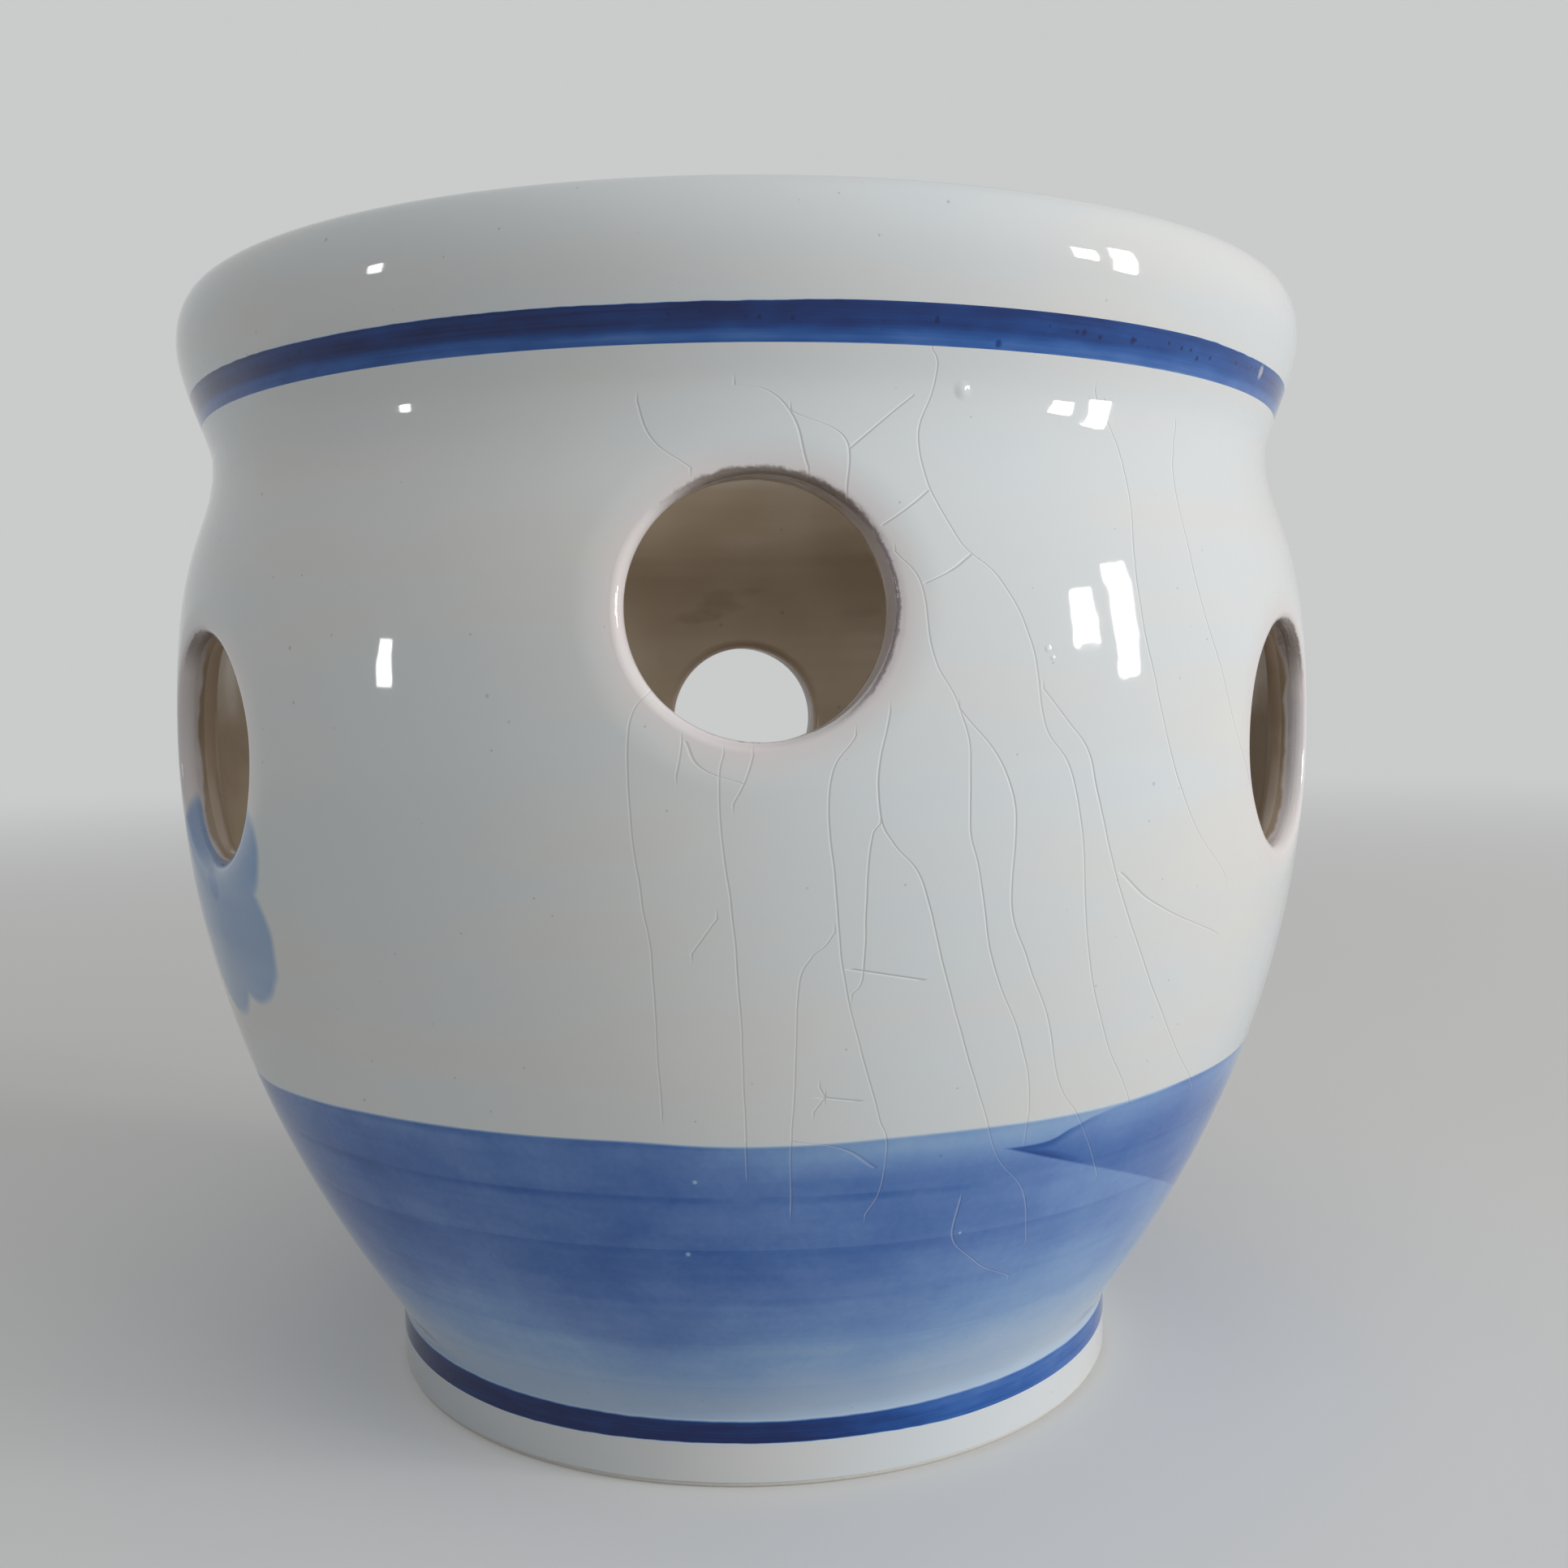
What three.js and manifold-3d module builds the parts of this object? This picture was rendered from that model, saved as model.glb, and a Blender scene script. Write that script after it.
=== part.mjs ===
// A crocus pot: a small round-bellied earthenware pot with six round planting holes in two
// staggered rows, a thick rolled rim and a turned foot. It is tin-glazed white, with a cobalt
// band under the rim and above the foot and a pale blue wash on the lower body.
// The fired clay is one body. Each coat on it is a thin shell of its own: the glaze and paint
// zones outside, the glaze poured inside, the glaze that lines each hole and the one under the foot.
// Millimetres, +Z up, origin at the centre of the foot's resting face. The pot's front, with
// an upper hole in the middle, faces -Y.

import * as THREE from 'three';
import { mergeVertices } from 'three/addons/utils/BufferGeometryUtils.js';
import Module from 'manifold-3d';

// Outline of the glazed pot, from the ground up
const FOOT_RADIUS = 44.5;
const FOOT_WALL_HEIGHT = 7.8;
const FLANK_HEIGHT = 69.2;
const BELLY_RADIUS = 67.8;
const SHOULDER_HEIGHT = 30.8;
const NECK_RADIUS = 63;
const RIM_HEIGHT = 17.8;
const RIM_RADIUS = 66.4;

// Rolled lip: its crest lies nearer the outside, and it rounds over more gently inside
const LIP_THICKNESS = 8;
const LIP_OUTER_ROUND = { across: 2.6, down: 5 };
const LIP_INNER_ROUND_DOWN = 6;

// How far each curve keeps to its upright direction at its two ends, as a share of its height
const FLANK_PULL = { low: 0.03, high: 0.58 };
const SHOULDER_PULL = { low: 0.74, high: 0.26 };
const RIM_PULL = { low: 0.2, high: 0.33 };
const MOUTH_PULL = { low: 0.4, high: 0.4 };

// Wall, floor and foot ring
const WALL_THICKNESS = 4.2;
const FLOOR_THICKNESS = 6;
const FLOOR_CORNER_HEIGHT = 8;
const RECESS_DEPTH = 3.5;
const RECESS_CORNER_RADIUS = 1.6;
const FOOT_RING_WIDTH = 4.8;
const FOOT_EDGE_CHAMFER = 0.5;

// Coats: their thickness, and the gap kept between neighbouring bodies
const COAT_THICKNESS = 0.5;
const COAT_GAP = 0.3;
const WIPED_FOOT_HEIGHT = 0.7;

// Painted zones: heights above the ground, or depths below the crest of the lip
const FOOT_BAND_BOTTOM = 4.5;
const FOOT_BAND_WIDTH = 2.9;
const WASH_WIDTH = 34;
const RIM_BAND_DEPTH = 10.6;
const RIM_BAND_WIDTH = 3.4;
const INNER_COAT_START_DEPTH = 14;

// Planting holes: their bore, the glaze that lines them and their places round the belly
const HOLE_RADIUS = 11.6;
const HOLE_LINING_THICKNESS = 0.5;
const HIGH_HOLE_RISE = 12.2;
const LOW_HOLE_DROP = 0.7;
const SIDE_HOLE_AZIMUTH = 57;
const REAR_SIDE_HOLE_AZIMUTH = 118;

// Fineness of the faceted surfaces
const ROUND_SIDES = 40;
const HOLE_SIDES = 20;
const CURVE_STEPS = { flank: 7, shoulder: 4, rim: 4, round: 3, corner: 2 };

const footTop = FOOT_WALL_HEIGHT;
const bellyHeight = footTop + FLANK_HEIGHT;
const neckHeight = bellyHeight + SHOULDER_HEIGHT;
const crestHeight = neckHeight + RIM_HEIGHT;
const floorHeight = RECESS_DEPTH + FLOOR_THICKNESS;
const crestRadius = RIM_RADIUS - LIP_OUTER_ROUND.across;
const mouthRadius = RIM_RADIUS - LIP_THICKNESS;
const clayDepth = COAT_THICKNESS + COAT_GAP;
const ringInnerRadius = FOOT_RADIUS - FOOT_RING_WIDTH;

const wasm = await Module();
wasm.setup();

// A sample of an outline is a point (radius, height) with the unit normal that leads into the
// clay. Outlines run so that the clay lies on their left.
function sampleCurve(curve, steps) {
  const samples = [];
  for (let step = 0; step <= steps; step += 1) {
    const tangent = curve.getTangent(step / steps);
    samples.push({
      point: curve.getPoint(step / steps),
      normal: new THREE.Vector2(-tangent.y, tangent.x),
    });
  }
  return samples;
}

function joinSamples(...runs) {
  return runs.flatMap((run, index) => (index === 0 ? run : run.slice(1)));
}

// A curve between two stations of the outline that is upright at both of them.
function uprightCurve(start, end, startPull, endPull) {
  const rise = end.y - start.y;
  return new THREE.CubicBezierCurve(
    start,
    new THREE.Vector2(start.x, start.y + startPull * rise),
    new THREE.Vector2(end.x, end.y - endPull * rise),
    end,
  );
}

function quarterEllipse(centre, across, up, startAngle) {
  return new THREE.EllipseCurve(centre.x, centre.y, across, up, startAngle, startAngle + Math.PI / 2);
}

function outsideSamples() {
  const ground = new THREE.Vector2(FOOT_RADIUS, 0);
  const foot = new THREE.Vector2(FOOT_RADIUS, footTop);
  const belly = new THREE.Vector2(BELLY_RADIUS, bellyHeight);
  const neck = new THREE.Vector2(NECK_RADIUS, neckHeight);
  const rimSide = new THREE.Vector2(RIM_RADIUS, crestHeight - LIP_OUTER_ROUND.down);
  const roundCentre = new THREE.Vector2(crestRadius, rimSide.y);
  return joinSamples(
    sampleCurve(new THREE.LineCurve(ground, foot), 1),
    sampleCurve(uprightCurve(foot, belly, FLANK_PULL.low, FLANK_PULL.high), CURVE_STEPS.flank),
    sampleCurve(uprightCurve(belly, neck, SHOULDER_PULL.low, SHOULDER_PULL.high), CURVE_STEPS.shoulder),
    sampleCurve(uprightCurve(neck, rimSide, RIM_PULL.low, RIM_PULL.high), CURVE_STEPS.rim),
    sampleCurve(
      quarterEllipse(roundCentre, LIP_OUTER_ROUND.across, LIP_OUTER_ROUND.down, 0),
      CURVE_STEPS.round,
    ),
  );
}

// Height and index helpers for a run of samples whose heights only rise.
function indexAtHeight(samples, height) {
  const above = samples.findIndex((sample) => sample.point.y >= height);
  const low = samples[above - 1].point.y;
  const high = samples[above].point.y;
  return above - 1 + (height - low) / (high - low);
}

function sampleAt(samples, index) {
  const low = Math.min(Math.floor(index), samples.length - 2);
  const share = index - low;
  return {
    point: samples[low].point.clone().lerp(samples[low + 1].point, share),
    normal: samples[low].normal.clone().lerp(samples[low + 1].normal, share).normalize(),
  };
}

function slice(samples, start, end) {
  const inner = samples.filter((_, index) => index > start && index < end);
  return [sampleAt(samples, start), ...inner, sampleAt(samples, end)];
}

function offset(samples, depth) {
  return samples.map(({ point, normal }) => point.clone().addScaledVector(normal, depth));
}

// The inside face of the wall runs parallel to the outside from the neck down to the corner
// with the floor, so the wall keeps its thickness when the outline changes.
function insideSamples(outside) {
  const neckIndex = indexAtHeight(outside, neckHeight);
  const wallFace = slice(outside, indexAtHeight(outside, footTop), neckIndex)
    .map(({ point, normal }) => ({
      point: point.clone().addScaledVector(normal, WALL_THICKNESS),
      normal: normal.clone().negate(),
    }));
  const cornerTop = indexAtHeight(wallFace, floorHeight + FLOOR_CORNER_HEIGHT);
  const wall = slice(wallFace, cornerTop, wallFace.length - 1).reverse();

  const mouth = new THREE.Vector2(mouthRadius, crestHeight - LIP_INNER_ROUND_DOWN);
  const innerNeck = new THREE.Vector2(NECK_RADIUS - WALL_THICKNESS, neckHeight);
  const lipCentre = new THREE.Vector2(crestRadius, mouth.y);

  const last = wall[wall.length - 1];
  const downwards = new THREE.Vector2(last.normal.y, -last.normal.x);
  const reach = (last.point.y - floorHeight) / -downwards.y;
  const cornerControl = last.point.clone().addScaledVector(downwards, reach);
  const cornerEnd = new THREE.Vector2(cornerControl.x - reach, floorHeight);
  const corner = new THREE.QuadraticBezierCurve(last.point, cornerControl, cornerEnd);
  const axis = new THREE.Vector2(0, floorHeight);

  return joinSamples(
    sampleCurve(
      quarterEllipse(lipCentre, crestRadius - mouthRadius, LIP_INNER_ROUND_DOWN, Math.PI / 2),
      CURVE_STEPS.round,
    ),
    sampleCurve(uprightCurve(mouth, innerNeck, MOUTH_PULL.high, MOUTH_PULL.low), CURVE_STEPS.corner),
    wall,
    sampleCurve(corner, CURVE_STEPS.corner),
    sampleCurve(new THREE.LineCurve(cornerEnd, axis), 1),
  );
}

// The recess under the floor, from the axis out and down the foot ring's inner face.
function undersideSamples() {
  const cornerCentre = new THREE.Vector2(
    ringInnerRadius - RECESS_CORNER_RADIUS,
    RECESS_DEPTH - RECESS_CORNER_RADIUS,
  );
  const corner = new THREE.EllipseCurve(
    cornerCentre.x,
    cornerCentre.y,
    RECESS_CORNER_RADIUS,
    RECESS_CORNER_RADIUS,
    Math.PI / 2,
    0,
    true,
  );
  const cornerStart = new THREE.Vector2(cornerCentre.x, RECESS_DEPTH);
  const ringTop = new THREE.Vector2(ringInnerRadius, cornerCentre.y);
  const ringBottom = new THREE.Vector2(ringInnerRadius, 0);
  return joinSamples(
    sampleCurve(new THREE.LineCurve(new THREE.Vector2(0, RECESS_DEPTH), cornerStart), 1),
    sampleCurve(corner, CURVE_STEPS.corner),
    sampleCurve(new THREE.LineCurve(ringTop, ringBottom), 1),
  );
}

// A body of revolution about Z from a closed profile of (radius, height) points. Rows of the
// lathe that lie on the axis fold to a point, and the empty faces there are left out.
function revolve(points) {
  const lathe = new THREE.LatheGeometry([...points, points[0]], ROUND_SIDES);
  lathe.rotateX(Math.PI / 2);
  lathe.deleteAttribute('normal');
  lathe.deleteAttribute('uv');
  const merged = mergeVertices(lathe);
  const corners = Array.from(merged.index.array);
  const kept = [];
  for (let first = 0; first < corners.length; first += 3) {
    const [a, b, c] = corners.slice(first, first + 3);
    if (a !== b && b !== c && c !== a) {
      kept.push(a, b, c);
    }
  }
  merged.setIndex(kept);
  return merged;
}

function toSolid(geometry) {
  const vertProperties = Float32Array.from(geometry.attributes.position.array);
  const triVerts = Uint32Array.from(geometry.index.array);
  return new wasm.Manifold(new wasm.Mesh({ numProp: 3, vertProperties, triVerts }));
}

function toGeometry(solid) {
  const { vertProperties, triVerts } = solid.getMesh();
  const geometry = new THREE.BufferGeometry();
  geometry.setAttribute('position', new THREE.Float32BufferAttribute(vertProperties, 3));
  geometry.setIndex(Array.from(triVerts));
  return geometry;
}

const outside = outsideSamples();
const inside = insideSamples(outside);
const underside = undersideSamples();
const skin = joinSamples(outside, inside);
const lastIndex = skin.length - 1;

// A coat is the layer of COAT_THICKNESS under a stretch of an outline.
function coat(samples, start, end) {
  const stretch = slice(samples, start, end);
  return revolve([...offset(stretch, 0), ...offset(stretch, COAT_THICKNESS).reverse()]);
}

// A coat on the outside between two heights, half a gap short of each.
function outsideCoat(low, high) {
  return coat(
    skin,
    indexAtHeight(outside, low + COAT_GAP / 2),
    indexAtHeight(outside, high - COAT_GAP / 2),
  );
}

// Index on the inside face, below the lip, at a depth under the crest.
function insideIndexAtDepth(depth) {
  const height = crestHeight - depth;
  const below = inside.findIndex((sample) => sample.point.y <= height);
  const high = inside[below - 1].point.y;
  const low = inside[below].point.y;
  return outside.length - 1 + below - 1 + (high - height) / (high - low);
}

function clayBody() {
  const footEdge = [
    new THREE.Vector2(ringInnerRadius + clayDepth, FOOT_EDGE_CHAMFER),
    new THREE.Vector2(ringInnerRadius + clayDepth + FOOT_EDGE_CHAMFER, 0),
    new THREE.Vector2(FOOT_RADIUS - clayDepth - FOOT_EDGE_CHAMFER, 0),
    new THREE.Vector2(FOOT_RADIUS - clayDepth, FOOT_EDGE_CHAMFER),
  ];
  return revolve([
    ...offset(underside.slice(0, -1), clayDepth),
    ...footEdge,
    ...offset(skin.slice(1), clayDepth),
  ]);
}

function glazedPot() {
  return revolve([...offset(underside, 0), ...offset(skin, 0)]);
}

// Planting holes, numbered round the pot from the front: high, low, high and so on.
const holes = [
  { azimuth: 0, height: bellyHeight + HIGH_HOLE_RISE },
  { azimuth: SIDE_HOLE_AZIMUTH, height: bellyHeight - LOW_HOLE_DROP },
  { azimuth: REAR_SIDE_HOLE_AZIMUTH, height: bellyHeight + HIGH_HOLE_RISE },
  { azimuth: 180, height: bellyHeight - LOW_HOLE_DROP },
  { azimuth: -REAR_SIDE_HOLE_AZIMUTH, height: bellyHeight + HIGH_HOLE_RISE },
  { azimuth: -SIDE_HOLE_AZIMUTH, height: bellyHeight - LOW_HOLE_DROP },
];

// A round rod square to the wall at a hole. It reaches past the wall's faces by the hole's own
// radius, more than they bow away across the hole.
function holeRod(hole, radius) {
  const { point, normal } = sampleAt(outside, indexAtHeight(outside, hole.height));
  const length = 2 * (WALL_THICKNESS + HOLE_RADIUS);
  const rod = new THREE.CylinderGeometry(radius, radius, length, HOLE_SIDES);
  rod.rotateX(Math.atan2(normal.y, -normal.x));
  rod.translate(0, -point.x, point.y);
  rod.rotateZ(THREE.MathUtils.degToRad(hole.azimuth));
  rod.deleteAttribute('normal');
  rod.deleteAttribute('uv');
  return toSolid(mergeVertices(rod));
}

const liningRadius = HOLE_RADIUS + HOLE_LINING_THICKNESS;
const bodyHoleRods = holes
  .map((hole) => holeRod(hole, liningRadius + COAT_GAP))
  .reduce((all, rod) => all.add(rod));

function pierced(geometry) {
  return toGeometry(toSolid(geometry).subtract(bodyHoleRods));
}

// The glaze on the wall of a hole: a sleeve that ends flush with both faces of the pot's wall.
function holeLining(hole, potSolid) {
  const sleeve = holeRod(hole, liningRadius).subtract(holeRod(hole, HOLE_RADIUS));
  return toGeometry(sleeve.intersect(potSolid));
}

const footBandTop = FOOT_BAND_BOTTOM + FOOT_BAND_WIDTH;
const washTop = footBandTop + WASH_WIDTH;
const rimBandTop = crestHeight - RIM_BAND_DEPTH;
const rimBandBottom = rimBandTop - RIM_BAND_WIDTH;
const innerCoatStart = insideIndexAtDepth(INNER_COAT_START_DEPTH);
const rimCoatEnd = insideIndexAtDepth(INNER_COAT_START_DEPTH - COAT_GAP);
const footCoatStart = WIPED_FOOT_HEIGHT - COAT_GAP / 2;
// The last stretch under the foot is the ring's upright inner face, and its bottom is wiped too.
const ringFaceHeight = RECESS_DEPTH - RECESS_CORNER_RADIUS;
const recessCoatEnd = underside.length - 1 - WIPED_FOOT_HEIGHT / ringFaceHeight;

const finishes = {
  clay: new THREE.MeshStandardMaterial({ color: 0xc9ab97, roughness: 0.85, metalness: 0 }),
  whiteGlaze: new THREE.MeshStandardMaterial({ color: 0xd9dcda, roughness: 0.15, metalness: 0 }),
  innerGlaze: new THREE.MeshStandardMaterial({ color: 0xc8c0b4, roughness: 0.3, metalness: 0 }),
  cobalt: new THREE.MeshStandardMaterial({ color: 0x2c4a92, roughness: 0.15, metalness: 0 }),
  blueWash: new THREE.MeshStandardMaterial({ color: 0x7f97c4, roughness: 0.15, metalness: 0 }),
  holeGlaze: new THREE.MeshStandardMaterial({ color: 0xd1c9c2, roughness: 0.25, metalness: 0 }),
};

const pot = new THREE.Group();
pot.name = 'crocus_pot';

function addPart(name, geometry, material) {
  geometry.computeVertexNormals();
  const mesh = new THREE.Mesh(geometry, material);
  mesh.name = name;
  pot.add(mesh);
}

addPart('clay_body', pierced(clayBody()), finishes.clay);
addPart('foot_glaze', outsideCoat(footCoatStart, FOOT_BAND_BOTTOM), finishes.whiteGlaze);
addPart('foot_band', outsideCoat(FOOT_BAND_BOTTOM, footBandTop), finishes.cobalt);
addPart('blue_wash', outsideCoat(footBandTop, washTop), finishes.blueWash);
addPart('belly_glaze', pierced(outsideCoat(washTop, rimBandBottom)), finishes.whiteGlaze);
addPart('rim_band', outsideCoat(rimBandBottom, rimBandTop), finishes.cobalt);
addPart(
  'rim_glaze',
  coat(skin, indexAtHeight(outside, rimBandTop + COAT_GAP / 2), rimCoatEnd),
  finishes.whiteGlaze,
);
addPart('inner_glaze', pierced(coat(skin, innerCoatStart, lastIndex)), finishes.innerGlaze);
addPart('base_glaze', coat(underside, 0, recessCoatEnd), finishes.whiteGlaze);

const potSolid = toSolid(glazedPot());
holes.forEach((hole, index) => {
  addPart(`hole_glaze_${index + 1}`, holeLining(hole, potSolid), finishes.holeGlaze);
});

export default pot;
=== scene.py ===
"""Crocus pot: a thrown, tin-glazed earthenware pot with six planting holes.

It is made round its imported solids. Each surface is the pot's section swung round the Z axis. Round a
planting hole the grid of that surface opens into rings, and the glaze rolls over the hole's edge. The
paint, the crazing and the marks of the fire are worked out from a place's turn round the pot and its
height, so that they run on from one coat to the next. A turn is an angle round the axis from the front,
which faces -Y, towards +X.
"""

import math

import bpy
import numpy as np
from bpy.props import FloatProperty, FloatVectorProperty, PointerProperty
from bpy.types import Operator, Panel, PropertyGroup
from mathutils import Matrix, Vector


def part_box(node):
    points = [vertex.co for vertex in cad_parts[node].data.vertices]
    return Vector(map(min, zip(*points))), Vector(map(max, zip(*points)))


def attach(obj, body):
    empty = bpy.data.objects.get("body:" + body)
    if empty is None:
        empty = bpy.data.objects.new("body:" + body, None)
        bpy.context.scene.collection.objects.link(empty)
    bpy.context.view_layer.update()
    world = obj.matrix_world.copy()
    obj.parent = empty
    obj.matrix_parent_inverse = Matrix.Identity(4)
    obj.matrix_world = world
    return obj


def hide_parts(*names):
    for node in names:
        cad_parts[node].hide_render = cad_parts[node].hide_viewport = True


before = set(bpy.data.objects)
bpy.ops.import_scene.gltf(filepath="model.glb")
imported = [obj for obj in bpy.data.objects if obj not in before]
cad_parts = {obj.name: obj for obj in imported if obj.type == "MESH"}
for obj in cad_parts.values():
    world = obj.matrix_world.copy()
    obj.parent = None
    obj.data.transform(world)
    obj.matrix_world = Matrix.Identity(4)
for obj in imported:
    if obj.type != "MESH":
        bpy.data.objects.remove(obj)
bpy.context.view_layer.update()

bl_info = {
    "name": "Crocus Pot",
    "version": (1, 0, 0),
    "blender": (4, 5, 0),
    "location": "View3D > Sidebar > Pot",
    "description": "Builds a glazed crocus pot with brushed blue bands, and a plain studio round it",
    "category": "Mesh",
}

MM = 0.001

# How far each curve of the section keeps upright at its two ends, as a share of its height
FLANK_PULL = (0.03, 0.58)
SHOULDER_PULL = (0.74, 0.26)
RIM_PULL = (0.2, 0.33)
MOUTH_PULL = (0.4, 0.4)

# Fineness of the grids: steps across a hole's sector and up its side, rings round the hole and how much
# each is wider than the last, steps round a rolled edge and down the bore, and the height of a row
SECTOR_STEPS = 52
SIDE_STEPS = 36
RING_STEPS = 22
RING_GROWTH = 1.13
ROLL_STEPS = 6
BORE_STEPS = 8
ROW = 1.3 * MM

# Fineness of the clay under the coats: rings round a hole and stations across the foot ring
CLAY_RINGS = 8
FOOT_RING_STATIONS = 60

# Points of the wall's section, and tries at where a line along a hole's axis meets the wall
WALL_POINTS = 700
MEETING_TRIES = 14

# The belt of the wall that holds all the planting holes, and how far a hole's grid is from it
BELT_LOW = 52 * MM
BELT_HIGH = 108 * MM
FAR_FROM_HOLES = 30.0

# Points nearer to each other than this are one
SAME_PLACE = 0.0001 * MM

# For each planting hole the clock angle, in degrees, where its outer edge is fullest, and the shares of
# the outer roll it has there and across from there
HOLE_EDGES = (
    (205, 1.48, 0.52),
    (8, 2.0, 1.4),
    (140, 1.4, 0.6),
    (70, 1.4, 0.6),
    (250, 1.4, 0.6),
    (190, 1.9, 1.4),
)

# Light boxes, as (strength, seen in the gloss, turn and rise in degrees, then shift across and up, width
# and height in metres). All stand at one distance from the middle of the pot.
LIGHT_BOXES = (
    ("window", True, 70.5, 11.5, 0.055, 0, 0.12, 0.35),
    ("window", True, 70.5, 11.5, -0.152, 0.004, 0.12, 0.18),
    ("small_window", True, -69, 6.5, 0, 0, 0.07, 0.125),
    ("side_box", False, 58, 24, 0, 0, 1.0, 0.9),
    ("top_box", False, 0, 68, 0, 0, 1.0, 0.9),
)
LIGHT_DISTANCE = 1.3
LIGHT_TARGET = (0, 0, 70 * MM)
SKY_TONE = (0.97, 0.99, 1.0, 1.0)
FLOOR_RADIUS = 3.0
FLOOR_SIDES = 96
FLOOR_RINGS = 25

# The camera's place, its pan, pitch and roll in radians, and its focal length against a 36 mm sensor
CAMERA_PLACE = (-3.636 * MM, -199.967 * MM, 82.993 * MM)
CAMERA_PAN, CAMERA_PITCH, CAMERA_ROLL = 0.04125, -0.0679, -0.01327
FOCAL_LENGTH = SENSOR_WIDTH = 36
CLIP_START = 0.01


def length(name, millimetres, description):
    """A size property, written in millimetres and kept in metres."""
    return FloatProperty(name=name, description=description, default=millimetres * MM, unit="LENGTH")


def tone(name, red, green, blue, description):
    """A colour property, written as the 0 to 255 values of a paint chart and kept linear."""
    return FloatVectorProperty(
        name=name,
        description=description,
        default=linear(red, green, blue),
        subtype="COLOR",
        min=0,
        max=1,
    )


def bearing(name, degrees, description):
    """A property for a turn round the pot, written in degrees and kept in radians."""
    radians = math.radians(degrees)
    return FloatProperty(name=name, description=description, default=radians, unit="ROTATION")


def brightness(name, radiance, description):
    """A property for how bright a light is, where 1 looks white."""
    return FloatProperty(name=name, description=description, default=radiance, min=0)


def linear(red, green, blue):
    """The linear value of each channel: a low slope near black, a power of 2.4 above it."""
    shares = [channel / 255 for channel in (red, green, blue)]
    return tuple(c / 12.92 if c <= 0.04045 else ((c + 0.055) / 1.055) ** 2.4 for c in shares)


def chart(red, green, blue):
    """A colour as a socket value, written as on a paint chart."""
    return (*linear(red, green, blue), 1.0)


def reach(node, axis):
    """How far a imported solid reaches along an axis, in millimetres."""
    _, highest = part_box(node)
    return highest["xyz".index(axis)] / MM


class PotShape(PropertyGroup):
    foot_radius: length("Foot radius", reach("foot_glaze", "x"), "Outside of the turned foot")
    belly_radius: length("Belly radius", reach("belly_glaze", "x"), "Outside of the belly at its widest")
    rim_radius: length("Rim radius", reach("rim_glaze", "x"), "Outside of the rolled rim")
    crest_height: length("Height", reach("rim_glaze", "z"), "From the ground to the crest of the rim")
    foot_wall: length("Foot height", 7.8, "Upright outside of the foot")
    belly_height: length("Belly height", 77, "Height of the widest place")
    neck_height: length("Neck height", 107.8, "Height of the narrow place under the rim")
    neck_radius: length("Neck radius", 63, "Outside of the narrow place under the rim")
    lip_thickness: length("Lip thickness", 8, "Across the rolled rim")
    lip_round_across: length("Outer round", 2.6, "Width of the lip's outer round")
    lip_round_down: length("Outer round height", 5, "Height of the lip's outer round")
    mouth_round_down: length("Inner round height", 6, "Height of the lip's inner round")
    wall: length("Wall", 4.2, "Thickness of the wall")
    floor_height: length("Floor height", 9.5, "Upper face of the floor inside")
    floor_corner: length("Floor corner", 8, "Height of the curve between wall and floor")
    recess_depth: length("Recess", 3.5, "Depth of the recess under the foot")
    recess_corner: length("Recess corner", 1.6, "Round at the edge of the recess")
    ring_width: length("Ring width", 4.8, "Width of the foot ring")
    coat: length("Coat", 0.5, "Thickness of the glaze")
    coat_clearance: length("Coat clearance", 0.02, "Between the glaze and the clay under it")
    wiped_foot: length("Wiped foot", 0.7, "Height of the bare clay at the bottom of the foot")
    unevenness: length("Unevenness", 0.25, "How far the thrower's hand strays from a true round")


class PotHoles(PropertyGroup):
    bore: length("Bore radius", 11.6, "Radius of a planting hole")
    outer_roll: length("Outer roll", 0.85, "Glaze rolling over the outer edge")
    lean: length("Lean", 0.6, "How far a hole's inner end stands off to one side")
    inner_roll: length("Inner roll", 1.6, "Poured glaze rolling over the inner edge")
    high_rise: length("High row", 12.2, "The upper holes above the belly's widest place")
    low_drop: length("Low row", 0.7, "The lower holes below the belly's widest place")
    side_turn: bearing("Side holes", 57, "Turn of the lower side holes")
    rear_turn: bearing("Rear side holes", 118, "Turn of the upper holes behind them")


class PotPaint(PropertyGroup):
    foot_band_low: length("Foot band, bottom", 4.5, "Lower edge of the band above the foot")
    foot_band_high: length("Foot band, top", 7.4, "Upper edge of the band above the foot")
    wash_high: length("Wash, top", 41.4, "Upper edge of the pale wash")
    rim_band_low: length("Rim band, bottom", 111.6, "Lower edge of the band under the rim")
    rim_band_high: length("Rim band, top", 115, "Upper edge of the band under the rim")
    inner_coat_depth: length("Inner coat", 14, "Where the poured inner glaze starts below the crest")
    cool_white: tone("Cool white", 213, 219, 222, "Glaze where it lies thick")
    warm_white: tone("Warm white", 220, 218, 214, "Glaze where the clay warms it")
    blush: tone("Blush", 226, 211, 210, "Thin glaze beside a planting hole")
    clay: tone("Clay", 201, 171, 151, "Fired earthenware")
    # Browned clay; on the upper wall of each hole's bore it also stands for painted shade
    scorched_clay_and_shade: tone("Scorched clay", 112, 96, 84, "Clay at a sharp edge, browned in the fire")
    inner_light: tone("Inner glaze, thick", 198, 184, 164, "Poured glaze inside where it lies thick")
    inner_deep: tone("Inner glaze, thin", 168, 149, 126, "Poured glaze inside where it lies thin")
    hole_wall: tone("Hole wall", 214, 206, 206, "Thin glaze on the cut wall of a hole")


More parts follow.
